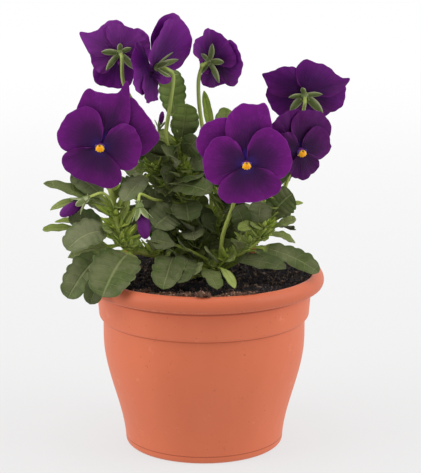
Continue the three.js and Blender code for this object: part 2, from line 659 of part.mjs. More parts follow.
const BUD_SPREAD = 0.17 * Math.PI;
const CUP_SHARE = 0.16;
const CUP_WIDTH = 0.2;
function budParts(bud) {
  const base = vec(bud.base);
  const along = vec(bud.tip).sub(base);
  const length = along.length();
  const { out, turned } = lookAlong(along);
  const cup = bar(between(base, base.clone().addScaledVector(out, CUP_SHARE * length)), 0.9,
    CUP_WIDTH * bud.wide, 6, 1);
  const cupTop = base.clone().addScaledVector(out, 0.1 * length);
  const sepals = [0, 72, 144, 216, 288].map((turn) => (
    sepal(cupTop, turned(turn), out, 0.5 * length, 0.32 * bud.wide, BUD_SPREAD)
  ));
  return [stalkThrough(bud.from, [...bud.stalk, bud.base], 0.9), cup, ...sepals];
}

// The furled petals of a bud: a slim egg inside its sepals, seated on the cup's domed end.
function budPetals(bud) {
  const base = vec(bud.base);
  const along = vec(bud.tip).sub(base);
  const length = along.length();
  const { out, right, top } = lookAlong(along);
  const seat = CUP_SHARE * length + 0.4 * CUP_WIDTH * bud.wide + FIT;
  const profile = [[0, seat / length], [0.2, 0.34], [0.28, 0.56], [0.28, 0.8], [0.18, 0.95], [0, 1]]
    .map(([r, z]) => new THREE.Vector2(r * bud.wide, z * length));
  const place = new THREE.Matrix4().makeBasis(right, top, out).setPosition(base);
  return solidOf(new THREE.LatheGeometry(profile, 7).rotateX(Math.PI / 2).applyMatrix4(place));
}

const stemBar = (name) => bar(stemPath(name), STEMS[name].start, STEMS[name].end, 6, spans(name));

// A stem stands in the compost in a hole that follows its root with a small gap.
function rootHole(name) {
  const wide = STEMS[name].start + FIT + 0.15;
  return bar(stemPath(name), wide, wide, 6, 1, 1 / spans(name));
}

function shoot(name) {
  const stems = SHOOTS[name].map(stemBar);
  const leaves = LEAVES[name].map((item) => sheet(leafRows(item), LEAF_THICKNESS));
  const flowers = FLOWERS.filter((flower) => flower.shoot === name)
    .flatMap((flower) => [flowerStalk(flower), ...calyx(flower)]);
  const buds = BUDS.filter((bud) => bud.shoot === name).flatMap(budParts);
  return join([...stems, ...leaves, ...flowers, ...buds]);
}

const plant = new THREE.Group();
plant.add(meshOf('pot', pot(), potPlastic()));
plant.add(meshOf('soil', soil(ROOTED.map(rootHole)), compost()));
for (const name of Object.keys(SHOOTS)) plant.add(meshOf(`shoot_${name}`, shoot(name), leafGreen()));
for (const flower of FLOWERS) {
  plant.add(meshOf(flower.name, petals(flower), petalViolet()));
  plant.add(meshOf(`${flower.name}_eye`, eye(flower), eyeYellow()));
}
for (const bud of BUDS) plant.add(meshOf(bud.name, budPetals(bud), petalViolet()));

export default plant;
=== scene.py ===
# %% [markdown]
# # Potted pansy
# A dark violet pansy grows in a terracotta-coloured plastic pot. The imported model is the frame:
# it says where the pot, the compost, the leafy shoots, the flowers and the buds are. Its solids
# are plain and thick, so each of them gets a finer piece of the same form here, made from the
# same few sizes, with the veins, hairs, crumbs and colours that the plain ones can't show.

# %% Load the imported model
import json
import math

import bpy
import numpy as np
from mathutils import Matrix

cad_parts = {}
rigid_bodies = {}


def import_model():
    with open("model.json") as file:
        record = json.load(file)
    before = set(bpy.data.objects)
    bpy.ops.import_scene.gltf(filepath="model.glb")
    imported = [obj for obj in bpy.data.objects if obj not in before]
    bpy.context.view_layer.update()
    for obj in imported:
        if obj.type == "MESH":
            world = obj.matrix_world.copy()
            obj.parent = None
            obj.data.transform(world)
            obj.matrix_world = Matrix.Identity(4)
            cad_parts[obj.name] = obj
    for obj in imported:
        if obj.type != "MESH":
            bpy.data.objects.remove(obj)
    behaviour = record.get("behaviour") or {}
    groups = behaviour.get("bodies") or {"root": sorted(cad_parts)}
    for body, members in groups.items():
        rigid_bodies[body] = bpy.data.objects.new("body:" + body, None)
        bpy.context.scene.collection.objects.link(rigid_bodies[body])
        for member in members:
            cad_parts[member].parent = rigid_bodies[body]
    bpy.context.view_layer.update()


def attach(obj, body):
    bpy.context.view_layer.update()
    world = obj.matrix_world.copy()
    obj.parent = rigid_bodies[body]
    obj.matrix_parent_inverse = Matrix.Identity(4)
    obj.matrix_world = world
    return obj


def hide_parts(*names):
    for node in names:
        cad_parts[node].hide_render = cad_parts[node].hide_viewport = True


MM = 0.001
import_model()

# %% [markdown]
# ## Tools for nodes and finishes
# A finish and a Geometry Nodes tree are both made of nodes that feed each other, so they share the
# first few steps here. Each finish is one shader whose colour, gloss and bump come from a few
# patterns. They are laid out in metres on the object itself, or by the values that a shell
# carries, such as how far a point is from the throat of its petal.


# %% Nodes
class Nodes:
    """Nodes that feed each other, in a finish, a sky or a Geometry Nodes tree."""

    def __init__(self, tree):
        self.tree = tree

    def feed(self, socket, value):
        """Sets a socket to a value, or links another node's output to it."""
        if isinstance(value, bpy.types.NodeSocket):
            self.tree.links.new(value, socket)
        else:
            socket.default_value = value

    def node(self, kind, settings=None, **inputs):
        """Adds a node. An input's name has _ for a blank, and its value may be an output."""
        made = self.tree.nodes.new(kind)
        for name, value in (settings or {}).items():
            setattr(made, name, value)
        for name, value in inputs.items():
            self.feed(made.inputs[name.replace("_", " ")], value)
        return made

    def maths(self, operation, *values):
        """One step of arithmetic on numbers."""
        made = self.node("ShaderNodeMath", {"operation": operation})
        for socket, value in zip(made.inputs, values):
            self.feed(socket, value)
        return made.outputs[0]

    def parts(self, vector):
        """The X, Y and Z of a vector."""
        return self.node("ShaderNodeSeparateXYZ", Vector=vector).outputs


def add_object(name, data):
    """Puts a mesh, a curve, a lamp or a camera into the scene."""
    made = bpy.data.objects.new(name, data)
    bpy.context.scene.collection.objects.link(made)
    return made


print("a node is added, and its sockets are set or linked")


# %% Finishes
def colour(red, green, blue):
    """A screen colour, each part from 0 to 255, as the linear light that a shader takes."""

    def linear(part):
        share = part / 255
        return share / 12.92 if share <= 0.04045 else ((share + 0.055) / 1.055) ** 2.4

    return (linear(red), linear(green), linear(blue), 1.0)


class Finish(Nodes):
    """One material, built a node at a time round its shader."""

    def __init__(self, name, **shader):
        self.material = bpy.data.materials.new(name)
        self.material.use_nodes = True
        super().__init__(self.material.node_tree)
        self.shader = self.tree.nodes["Principled BSDF"]
        for socket, value in shader.items():
            self.shader.inputs[socket.replace("_", " ")].default_value = value
        self.place = self.node("ShaderNodeTexCoord").outputs["Object"]

    def step(self, value, start, end):
        """0 up to the start, 1 from the end, and a soft rise between them."""
        made = self.node("ShaderNodeMapRange", {"interpolation_type": "SMOOTHSTEP"}, Value=value,
                         From_Min=start, From_Max=end)
        return made.outputs["Result"]

    def fade(self, value, start, end):
        """1 up to the start, 0 from the end, and a soft fall between them."""
        return self.maths("SUBTRACT", 1, self.step(value, start, end))

    def times(self, first, second):
        """The product of two numbers."""
        return self.maths("MULTIPLY", first, second)

    def apart(self, value, middle):
        """How far a value is from a middle one, on either side."""
        return self.maths("ABSOLUTE", self.maths("SUBTRACT", value, middle))

    def band(self, value, middle, half):
        """1 at the middle value, and 0 from half a width away on both sides."""
        return self.fade(self.apart(value, middle), 0.3 * half, half)

    def blend(self, share, first, second):
        """A mix of two colours, from 0, the first one, to 1."""
        made = self.node("ShaderNodeMix", {"data_type": "RGBA"})
        for index, value in ((0, share), (6, first), (7, second)):
            self.feed(made.inputs[index], value)
        return made.outputs[2]

    def tints(self, base, **layers):
        """Lays colours over a base in turn. Each has where it shows, how strongly, and its colour."""
        for share, amount, shade in layers.values():
            base = self.blend(self.times(share, amount), base, colour(*shade))
        return base

    def noise(self, size, detail=2.0, stretch=(1, 1, 1), rough=0.5):
        """A cloudy pattern from 0 to 1 with blotches of the given size, in millimetres."""
        scaled = self.node("ShaderNodeMapping", Scale=stretch, Vector=self.place)
        made = self.node("ShaderNodeTexNoise", Vector=scaled.outputs[0], Scale=1 / (size * MM),
                         Detail=detail, Roughness=rough)
        return made.outputs["Fac"]

    def height(self):
        """The height of a point, in metres."""
        return self.parts(self.place)["Z"]

    def value(self, name):
        """A value that the shells carry."""
        return self.node("ShaderNodeAttribute", {"attribute_name": name}).outputs["Fac"]

    def across_and_along(self):
        """The piece's UV map: the share across a sheet, and the share along it."""
        split = self.parts(self.node("ShaderNodeUVMap", {"uv_map": "UVMap"}).outputs[0])
        return split["X"], split["Y"]

    def bump(self, height, depth, under=None):
        """A relief with the given depth in millimetres, on top of another one."""
        made = self.node("ShaderNodeBump", Distance=depth * MM, Strength=1.0, Height=height)
        if under is not None:
            self.feed(made.inputs["Normal"], under)
        return made.outputs["Normal"]

    def finish(self, base, roughness=None, normal=None):
        """Links the colour, and the roughness and relief if they have a pattern."""
        for name, value in (("Base Color", base), ("Roughness", roughness), ("Normal", normal)):
            if value is not None:
                self.feed(self.shader.inputs[name], value)
        return self.material


print("a finish is one shader and a few patterns")

# %% [markdown]
# ## Camera, floor and light
# The photo looks down on the pot by 13 degrees through a long lens, so the pot's rim is a flat
# ellipse and its sides hardly converge. The background is one pale sheet that bends up behind
# the pot, so that it has no horizon. Like the table in a photo studio that is lit from behind, it
# glows with painted light of its own, more so at the back, and takes hardly any shadow. A bright
# sky gives the flat light, and a large lamp on each side makes the pot lighter at its edges than
# in its middle.

# %% Camera
CAMERA_PLACE = (0.0035, -0.9432, 0.3322)
CAMERA_TILT = 13.0
CAMERA_LENS = 136.5
CAMERA_NEAR = 0.05
camera_data = bpy.data.cameras.new("camera")
camera_data.lens = CAMERA_LENS
camera_data.clip_start = CAMERA_NEAR
camera = add_object("camera", camera_data)
camera.location = CAMERA_PLACE
camera.rotation_euler = (math.radians(90 - CAMERA_TILT), 0, 0)
bpy.context.scene.camera = camera
bpy.context.scene.view_settings.view_transform = "Standard"
print("camera at", CAMERA_PLACE, "looking down by", CAMERA_TILT, "degrees")

# %% Background sheet and floor
SHEET_WIDTH = 4.0
SHEET_FRONT = -4.0
SHEET_TOP = 2.6
BEND_START = 1.1
BEND_RADIUS = 0.7
BEND_POINTS = 17
PAPER_GREY = (0.15, 0.15, 0.15, 1.0)
PAPER_ROUGHNESS = 0.9
WHITE = (1.0, 1.0, 1.0, 1.0)
GLOW = {"From_Min": -0.1, "From_Max": 1.3, "To_Min": 0.66, "To_Max": 0.87}


def background_sheet():
    """One pale sheet: level, then a quarter bend, then upright. It glows more at its back."""
    bend = np.linspace(0, math.pi / 2, BEND_POINTS)
    depths = [SHEET_FRONT, *(BEND_START + BEND_RADIUS * np.sin(bend)), BEND_START + BEND_RADIUS]
    heights = [0.0, *(BEND_RADIUS * (1 - np.cos(bend))), SHEET_TOP]
    points = [(side * SHEET_WIDTH / 2, y, z) for y, z in zip(depths, heights) for side in (-1, 1)]
    faces = [(2 * k, 2 * k + 1, 2 * k + 3, 2 * k + 2) for k in range(len(depths) - 1)]
    mesh = bpy.data.meshes.new("background")
    mesh.from_pydata(points, [], faces)
    mesh.shade_smooth()
    paper = Finish("background_paper", Base_Color=PAPER_GREY, Roughness=PAPER_ROUGHNESS,
                   Specular_IOR_Level=0.0, Emission_Color=WHITE)
    # Painted light: the sheet gives off its own glow, brighter towards the back.
    glow = paper.node("ShaderNodeMapRange", Value=paper.parts(paper.place)["Y"], **GLOW)
    paper.feed(paper.shader.inputs["Emission Strength"], glow.outputs["Result"])
    mesh.materials.append(paper.material)
    return add_object("background", mesh)


sheet = background_sheet()
print("background sheet bends up", BEND_START, "m behind the pot")

# %% Sky and lamps
SKY = {"From_Min": -0.95, "From_Max": 0.1, "To_Min": 0.3, "To_Max": 0.95}
LAMPS = {
    "left_lamp": {"place": (-0.9, -0.35, 0.55), "size": 0.7, "watts": 4.8},
    "right_lamp": {"place": (0.9, -0.3, 0.6), "size": 0.7, "watts": 4.8},
    "top_lamp": {"place": (-0.15, -0.3, 1.3), "size": 0.9, "watts": 3.6},
}
PLANT_MIDDLE = (0, 0, 0.12)


def add_lamp(name, place, size, watts):
    """A square soft lamp that faces the middle of the plant."""
    data = bpy.data.lights.new(name, "AREA")
    data.size = size
    data.energy = watts
    lamp = add_object(name, data)
    lamp.location = place
    towards = np.array(PLANT_MIDDLE) - np.array(place)
    turn = math.atan2(towards[1], towards[0]) - math.pi / 2
    lean = math.acos(-towards[2] / np.linalg.norm(towards))
    lamp.rotation_euler = (lean, 0, turn)


def studio_sky():
    """A white sky that is dim on the viewer's side and bright at the sides and behind."""
    world = bpy.data.worlds.new("studio")
    world.use_nodes = True
    sky = Nodes(world.node_tree)
    direction = sky.node("ShaderNodeTexCoord").outputs["Generated"]
    strength = sky.node("ShaderNodeMapRange", Value=sky.parts(direction)["Y"], **SKY)
    light = sky.tree.nodes["Background"].inputs
    light["Color"].default_value = WHITE
    sky.feed(light["Strength"], strength.outputs["Result"])
    return world


bpy.context.scene.world = studio_sky()
for name, lamp in LAMPS.items():
    add_lamp(name, **lamp)
print("lamps:", ", ".join(LAMPS))

# %% [markdown]
# ## Tools for the shapes
# Everything on the plant is a thin sheet, a tube or a turned body. Plants are measured in
# millimetres here, and a mesh is turned to metres when it is made. A sheet is a grid of points
# with a thickness at each: the points of its upper face and of its lower face together make
# closed rings, and the rings make a closed shell, so that every leaf and petal is solid.


# %% Paths
def path_through(points, shares):
    """Points on the smooth path through the given ones, at shares from 0, its start, to 1."""
    points = np.asarray(points, float)
    padded = np.vstack([2 * points[0] - points[1], points, 2 * points[-1] - points[-2]])
    place = np.clip(np.asarray(shares, float), 0, 1) * (len(points) - 1)
    span = np.minimum(place.astype(int), len(points) - 2)
    t = (place - span)[:, None]
    before, start, end, after = (padded[span + k] for k in range(4))
    return 0.5 * (
        2 * start
        + (end - before) * t
        + (2 * before - 5 * start + 4 * end - after) * t**2
        + (3 * start - before - 3 * end + after) * t**3
    )


def unit(vectors):
    """The same directions with length 1, along the last axis."""
    vectors = np.asarray(vectors, float)
    return vectors / np.linalg.norm(vectors, axis=-1, keepdims=True)


def smooth(share):
    """A step from 0 to 1 with soft ends."""
    share = np.clip(share, 0, 1)
    return share * share * (3 - 2 * share)


def angles_round(sides):
    """The angles of points spaced evenly round a circle."""
    return np.linspace(0, 2 * math.pi, sides, endpoint=False)


def vary(size, wave):
    """A size that varies by rule: its first number, and its second one times a wave or a share."""
    return size[0] + size[1] * wave


def spoke(angle, reach, rise):
    """A step out from an upright axis, at an angle round it, and up."""
    return np.array((reach * math.cos(angle), reach * math.sin(angle), rise))


def look_along(direction):
    """A body's own axes: out along the direction, right, and top, which is as high as it can be."""
    out = unit(direction)
    right = unit(np.cross((0, 0, 1), out))
    return out, right, np.cross(out, right)


print("axes of a flower that faces the viewer:", look_along((0, -1, 0)))


# %% Shells
EDGE_ANGLE = 55
TURNED_SIDES = 16


def ring_faces(ids):
    """The faces between rings of points, where each ring closes on itself."""
    after = np.roll(ids, -1, axis=1)
    return np.stack([ids[:-1], after[:-1], after[1:], ids[1:]], axis=-1).reshape(-1, 4)


def paired(across, along):
    """A grid of UV places from the shares across it and along it."""
    return np.stack(np.broadcast_arrays(across, along), axis=-1)


def mesh_of(name, points, faces):
    """A mesh from its faces and from points in millimetres."""
    mesh = bpy.data.meshes.new(name)
    mesh.from_pydata((np.asarray(points) * MM).tolist(), [], faces)
    return mesh


class Shells:
    """Gathers closed shells, in millimetres, into one mesh with a UV map and named values."""

    def __init__(self):
        self.points, self.faces, self.uvs = [], [], []
        self.values = {}
        self.count = 0

    def add_rings(self, rings, uv, **values):
        """Adds a shell over rings of points. Each ring's second half runs back under its first."""
        rows, around, _ = rings.shape
        ids = np.arange(rows * around).reshape(rows, around)
        j = np.arange(around // 2 - 1)
        first, last = ids[0], ids[-1]
        start = np.stack([first[j + 1], first[j], first[around - 1 - j], first[around - 2 - j]], axis=-1)
        end = np.stack([last[j], last[j + 1], last[around - 2 - j], last[around - 1 - j]], axis=-1)
        faces = np.concatenate([ring_faces(ids), start, end])
        shell = rings.reshape(-1, 3)
        a, b, c, d = (shell[faces[:, k]] - shell.mean(0) for k in range(4))
        volume = np.sum(a * (np.cross(b, c) + np.cross(c, d)))
        if volume < 0:
            faces = faces[:, ::-1]
        self.points.append(shell)
        self.faces.append(faces + self.count)
        self.uvs.append(np.broadcast_to(uv, (rows, around, 2)).reshape(-1, 2))
        for name, value in values.items():
            spread = np.broadcast_to(np.asarray(value, float), (rows, around))
            self.values.setdefault(name, []).append(spread.reshape(-1))
        self.count += rows * around

    def add_sheet(self, grid, normals, thickness, uv, **values):
        """Adds a sheet over a grid of points, with half its thickness on each side."""
        size = grid.shape[:2]
        offset = normals * (0.5 * np.broadcast_to(thickness, size))[..., None]
        rings = np.concatenate([grid + offset, (grid - offset)[:, ::-1]], axis=1)
        both = {
            name: np.concatenate([v := np.broadcast_to(value, size), v[:, ::-1]], axis=1)
            for name, value in values.items()
        }
        upper = np.repeat([1.0, 0.0], size[1])
        self.add_rings(rings, np.concatenate([uv, uv[:, ::-1]], axis=1), upper=upper, **both)

    def add_turned(self, start, axis, profile, sides=TURNED_SIDES, upper=1.0, **values):
        """Adds a turned body: the profile's points are (distance along the axis, radius)."""
        out, right, top = look_along(axis)
        angles = angles_round(sides)
        circle = np.cos(angles)[:, None] * right + np.sin(angles)[:, None] * top
        profile = np.asarray(profile, float)
        rings = np.asarray(start) + profile[:, 0, None, None] * out + profile[:, 1, None, None] * circle
        uv = paired(np.linspace(0, 1, sides), np.linspace(0, 1, len(profile))[:, None])
        self.add_rings(rings, uv, upper=upper, **values)

    def piece(self, name, material):
        """Makes the mesh and its object."""
        mesh = mesh_of(name, np.concatenate(self.points), np.concatenate(self.faces).tolist())
        corners = np.empty(len(mesh.loops), int)
        mesh.loops.foreach_get("vertex_index", corners)
        uv_map = mesh.uv_layers.new(name="UVMap")
        uv_map.data.foreach_set("uv", np.concatenate(self.uvs)[corners].ravel())
        for label, parts in self.values.items():
            attribute = mesh.attributes.new(label, "FLOAT", "POINT")
            attribute.data.foreach_set("value", np.concatenate(parts))
        mesh.shade_smooth()
        mesh.set_sharp_from_angle(angle=math.radians(EDGE_ANGLE))
        mesh.materials.append(material)
        return add_object(name, mesh)


def settle(piece, slot, *nodes):
    """Sets a piece on the frame's body and hides the nodes that it stands for. The slot is not used."""
    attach(piece, "root")
    if nodes:
        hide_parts(*nodes)
    print(piece.name, len(piece.data.polygons), "faces")
    return piece


print("shells have sharp edges from", EDGE_ANGLE, "degrees")

# %% [markdown]
# ## Geometry Nodes trees
# Stems, hairs and crumbs are many and follow a path or a surface, so Geometry Nodes make them.
# A tree is built once with named sizes. Each use sets them by the socket's identifier, turns the
# result into a plain mesh and removes the modifier.


# %% Tools for the trees
def evaluated_mesh(source):
    """A plain mesh of an object, as its modifiers make it."""
    bpy.context.view_layer.update()
    return bpy.data.meshes.new_from_object(source.evaluated_get(bpy.context.evaluated_depsgraph_get()))


class Tree(Nodes):
    """A Geometry Nodes tree with named sizes, and the means to run it on an object."""

    def __init__(self, name, **sizes):
        super().__init__(bpy.data.node_groups.new(name, "GeometryNodeTree"))
        interface = self.tree.interface
        for in_out in ("INPUT", "OUTPUT"):
            interface.new_socket("Geometry", in_out=in_out, socket_type="NodeSocketGeometry")
        self.ids = {}
        for label, value in sizes.items():
            kind = "NodeSocketInt" if isinstance(value, int) else "NodeSocketFloat"
            socket = interface.new_socket(label, in_out="INPUT", socket_type=kind)
            socket.default_value = value
            self.ids[label] = socket.identifier
        self.inputs = self.node("NodeGroupInput").outputs
        self.output = self.node("NodeGroupOutput").inputs[0]

    def random(self, seed, low, high):
        """A random number for each point, or a vector, between the two that are given."""
        vector = isinstance(high, tuple)
        kind = "FLOAT_VECTOR" if vector else "FLOAT"
        made = self.node("FunctionNodeRandomValue", {"data_type": kind}, Seed=seed)
        lowest = 0 if vector else 2
        self.feed(made.inputs[lowest], low)
        self.feed(made.inputs[lowest + 1], high)
        return made.outputs[0 if vector else 1]

    def scaled(self, vector, scale):
        """A vector times a number."""
        made = self.node("ShaderNodeVectorMath", {"operation": "SCALE"}, Vector=vector, Scale=scale)
        return made.outputs[0]

    def end(self, geometry, material):
        """Ends the tree in real geometry with its material."""
        real = self.node("GeometryNodeRealizeInstances", Geometry=geometry)
        painted = self.node("GeometryNodeSetMaterial", Geometry=real.outputs[0], Material=material)
        self.feed(self.output, painted.outputs[0])

    def grow(self, name, source, **sizes):
        """Runs the tree on an object and returns what it makes as a new plain object."""
        modifier = source.modifiers.new(self.tree.name, "NODES")
        modifier.node_group = self.tree
        for label, value in sizes.items():
            modifier[self.ids[label]] = value
        mesh = evaluated_mesh(source)
        source.modifiers.remove(modifier)
        mesh.name = name
        return add_object(name, mesh)


print("trees end in Realize Instances and Set Material")

# %% [markdown]
# ## The pot
# The real pot is moulded in one piece: a foot, a rounded belly, a straight collar over a step,
# and a thick rolled rim. Such a body is its outline turned round an axis, so the outline is
# drawn once, its corners are rounded, and it is spun. The drain holes are then cut out.

# %% Pot outline
PAD_RADIUS = 12
FOOT_INNER = 36
FOOT_RADIUS = 43
RECESS = 1.5
BELLY_RADIUS = 54.8
BELLY_HEIGHT = 60
WALL = 1.8
FLOOR = 3.3
LIP_RADIUS = 58.4
POT_SIDES = 160
CORNER_RADIUS = 1.4
CORNER_SHARE = 0.45
CORNER_STEPS = 4


def belly_radius(z):
    """The outer radius of the belly at a height."""
    return FOOT_RADIUS + (BELLY_RADIUS - FOOT_RADIUS) * smooth(z / BELLY_HEIGHT)


def rounded(outline):
    """The outline with each inner corner turned into a small arc, less where its sides are short."""
    points = [np.array(outline[0], float)]
    for before, corner, after in zip(outline, outline[1:], outline[2:]):
        before, corner, after = (np.array(p, float) for p in (before, corner, after))
        back, ahead = before - corner, after - corner
        shorter = min(np.linalg.norm(back), np.linalg.norm(ahead))
        room = min(CORNER_RADIUS, CORNER_SHARE * shorter)
        start, end = corner + room * unit(back), corner + room * unit(ahead)
        for t in np.linspace(0, 1, CORNER_STEPS):
            points.append((1 - t) ** 2 * start + 2 * t * (1 - t) * corner + t * t * end)
    points.append(np.array(outline[-1], float))
    return np.array(points)


def pot_outline():
    """Radius and height of each corner, from the middle of the underside round to the floor."""
    underside = [(0, 0), (PAD_RADIUS, 0), (PAD_RADIUS + 1, RECESS), (FOOT_INNER, RECESS)]
    foot = [(FOOT_INNER + 1, 0), (FOOT_RADIUS - 1.5, 0), (FOOT_RADIUS, 1.5)]
    belly = [(belly_radius(z), z) for z in range(6, BELLY_HEIGHT + 1, 6)]
    step = [(BELLY_RADIUS, 70.6), (55.5, 70.7), (57, 72.2)]
    collar = [(58.1, 86.2), (58.3, 87.3), (64, 88.4)]
    rim = [(65, 90.9), (64.9, 93), (64, 95.2), (62.2, 96.7), (59.9, 96.8), (LIP_RADIUS, 95)]
    inside = [(LIP_RADIUS, 91), (56.2, 83), (55.6, 73), (53.2, 69)]
    wall = [(belly_radius(z) - WALL, z) for z in range(54, 5, -6)]
    floor = [(FOOT_RADIUS - WALL, FLOOR), (0, FLOOR)]
    return rounded([*underside, *foot, *belly, *step, *collar, *rim, *inside, *wall, *floor])


outline = pot_outline()
print("pot outline points:", len(outline), "widest", outline[:, 0].max(), "mm")

# %% Pot finish
SEAM = (0.0892, 0.0004)
# Painted shade: thin dark lines under the rim's overhang, in the step and at the foot's step.
GROOVE_SHADES = {"rim": (0.0864, 0.0008), "step": (0.0709, 0.0005), "foot": (0.0042, 0.0004)}


def pot_plastic():
    """Matt terracotta-coloured plastic: faint clouds, fine grain, scuffs, a chipped seam, and painted shade
    in thin lines under the rim, at the step and at the foot.
    """
    paint = Finish("pot_plastic", Roughness=0.5, Specular_IOR_Level=0.32)
    height = paint.height()
    clouds = paint.noise(28, 3, stretch=(1, 1, 0.35))
    chips = paint.step(paint.noise(2.6, 4, rough=0.7), 0.48, 0.6)
    seam = paint.times(paint.band(height, *SEAM), chips)
    # The grooves are painted shade, where the rim overhangs and in the steps.
    rim, step, foot = (paint.band(height, *line) for line in GROOVE_SHADES.values())
    groove = paint.maths("MAXIMUM", paint.maths("MAXIMUM", rim, step), foot)
    base = paint.tints(
        paint.blend(clouds, colour(205, 104, 68), colour(220, 118, 82)),
        scuffs=(paint.step(paint.noise(9, 6, rough=0.7), 0.6, 0.74), 0.35, (236, 152, 120)),
        specks=(paint.step(paint.noise(1.6, 2), 0.7, 0.76), 0.4, (140, 62, 40)),
        seam=(seam, 0.4, (240, 176, 148)),
        lip=(paint.step(height, 0.088, 0.0894), 0.42, (176, 84, 54)),
        groove=(groove, 0.65, (142, 60, 36)),
    )
    grain = paint.bump(paint.noise(0.35, 3), 0.03)
    relief = paint.bump(seam, 0.2, paint.bump(paint.noise(16, 2), 0.45, grain))
    return paint.finish(base, paint.maths("MULTIPLY_ADD", clouds, 0.2, 0.4), relief)


pot_paint = pot_plastic()
print("finish:", pot_paint.name)

# %% Spin the pot
DRAIN_RADIUS = 3.2
DRAIN_RING = 25
DRAIN_COUNT = 6
PIN = [(0, DRAIN_RADIUS), (FLOOR + 2, DRAIN_RADIUS)]
PIN_SIDES = 32
NEARLY_UP = (0.0001, 0, 1)
POT_EDGE_ANGLE = 50


def spun_pot():
    """The outline turned round the Z axis. Its first and last points lie on the axis."""
    angles = angles_round(POT_SIDES)
    inner = outline[1:-1]
    rings = np.stack([inner[:, :1] * np.cos(angles), inner[:, :1] * np.sin(angles),
                      np.repeat(inner[:, 1:], POT_SIDES, axis=1)], axis=-1)
    points = [(0, 0, outline[0][1]), (0, 0, outline[-1][1]), *rings.reshape(-1, 3)]
    ids = 2 + np.arange(len(inner) * POT_SIDES).reshape(len(inner), POT_SIDES)
    faces = ring_faces(ids).tolist()
    under, floor = ids[0].tolist(), ids[-1].tolist()
    faces += [(0, b, a) for a, b in zip(under, under[1:] + under[:1])]
    faces += [(1, a, b) for a, b in zip(floor, floor[1:] + floor[:1])]
    return add_object("pot_shell", mesh_of("pot_shell", points, faces))


def drain_pins():
    """One mesh of round pins, where the drain holes go."""
    pins = Shells()
    for angle in angles_round(DRAIN_COUNT):
        pins.add_turned(spoke(angle, DRAIN_RING, -1), NEARLY_UP, PIN, PIN_SIDES)
    return pins.piece("drain_pins", pot_paint)


pot = spun_pot()
pins = drain_pins()
cut = pot.modifiers.new("drains", "BOOLEAN")
cut.object = pins
cut.operation = "DIFFERENCE"
cut.solver = "EXACT"
drained = evaluated_mesh(pot)
pot.modifiers.remove(cut)
bpy.data.objects.remove(pins)
drained.materials.clear()
drained.materials.append(pot_paint)
drained.shade_smooth()
drained.set_sharp_from_angle(angle=math.radians(POT_EDGE_ANGLE))
pot.data = drained
settle(pot, "pot_plastic", "pot")

# %% [markdown]
# ## The compost
# Peat compost is a dark loose heap of crumbs. Its body is a plug with a lumpy top, which would
# look like rubber by itself, so thousands of crumbs lie on it. Geometry Nodes scatter them: a
# point gets a small rough ball, squashed and turned at random, and its own shade.


# %% Compost finish
def compost_finish(name, dark, light):
    """Moist peat: nearly black, with paler fibres and flecks."""
    paint = Finish(name, Roughness=0.9, Specular_IOR_Level=0.25)
    flecks = paint.maths("SUBTRACT", paint.noise(1.1, 4), 0.5)
    shade = paint.maths("ADD", paint.value("shade"), flecks)
    base = paint.blend(paint.step(shade, 0.55, 1.2), colour(*dark), colour(*light))
    return paint.finish(base, normal=paint.bump(paint.noise(0.7, 5, rough=0.7), 0.5))


peat = compost_finish("peat", (32, 28, 30), (70, 60, 54))
crumb_paint = compost_finish("crumbs", (38, 33, 35), (126, 102, 84))
dry_paint = compost_finish("dry_crumbs", (92, 66, 52), (176, 140, 116))
print("finishes:", peat.name, crumb_paint.name, dry_paint.name)

# %% Compost plug
SOIL_GAP = 0.7
SOIL_TOP = 91.3
SOIL_EDGE = 94.2
SOIL_SLOPE = -0.01
SOIL_RADIUS = LIP_RADIUS - SOIL_GAP
SOIL_RINGS = 44
SOIL_SIDES = 144
SOIL_SHADE = 0.25
LUMPS = (0.8, 0.6)
GRIT = (0.35, 0.2)
TOP_PROFILE = [(0, SOIL_TOP + 0.8), (24, SOIL_TOP), (45, SOIL_EDGE - 0.8), (SOIL_RADIUS, SOIL_EDGE)]


def soil_height(x, y):
    """Height of the compost's top: higher along the wall, lumpy, and rough where it is fine."""
    profile = np.interp(np.hypot(x, y), *zip(*TOP_PROFILE))
    lumps = LUMPS[0] * np.sin(0.23 * x + 1) * np.cos(0.19 * y) + LUMPS[1] * np.sin(0.37 * y - 0.31 * x)
    rough = GRIT[0] * np.sin(1.3 * x + 0.7 * y) * np.cos(1.1 * y - 0.5 * x)
    rough = rough + GRIT[1] * np.sin(2.9 * x) * np.sin(2.6 * y)
    return profile + SOIL_SLOPE * y + lumps + rough


def soil_plug():
    """The compost as a closed body: rings up the wall, then over the lumpy top."""
    wall = [(z, belly_radius(z) - WALL - SOIL_GAP) for z in (FLOOR + 0.3, 20, 40, 54)]
    wall += [(67, 52.2), (73.5, 54.6), (82.8, 55.3), (90.6, SOIL_RADIUS)]
    angles = angles_round(SOIL_SIDES)
    circle = np.stack([np.cos(angles), np.sin(angles)], axis=-1)
    rings = [np.column_stack([radius * circle, np.full(SOIL_SIDES, z)]) for z, radius in wall]
    for radius in np.linspace(SOIL_RADIUS, 0.4, SOIL_RINGS):
        x, y = (radius * circle).T
        rings.append(np.column_stack([x, y, soil_height(x, y)]))
    plug = Shells()
    plug.add_rings(np.array(rings), np.zeros(2), shade=SOIL_SHADE)
    return plug.piece("potting_compost", peat)


soil = settle(soil_plug(), "compost", "soil")

# %% Crumb tree
NARROWEST = (0.6, 0.5, 0.35)
WIDEST = (1.9, 1.1, 0.8)
ANY_TURN = (6.28, 6.28, 6.28)
DENT_SCALE = 1900.0
DENT_DEPTH = 0.0011


def scatter_over(tree, **more):
    """Points at random on the faces that the tree is given."""
    return tree.node("GeometryNodeDistributePointsOnFaces", Mesh=tree.inputs["Geometry"],
                     Density=tree.inputs["density"], Seed=tree.inputs["seed"], **more).outputs


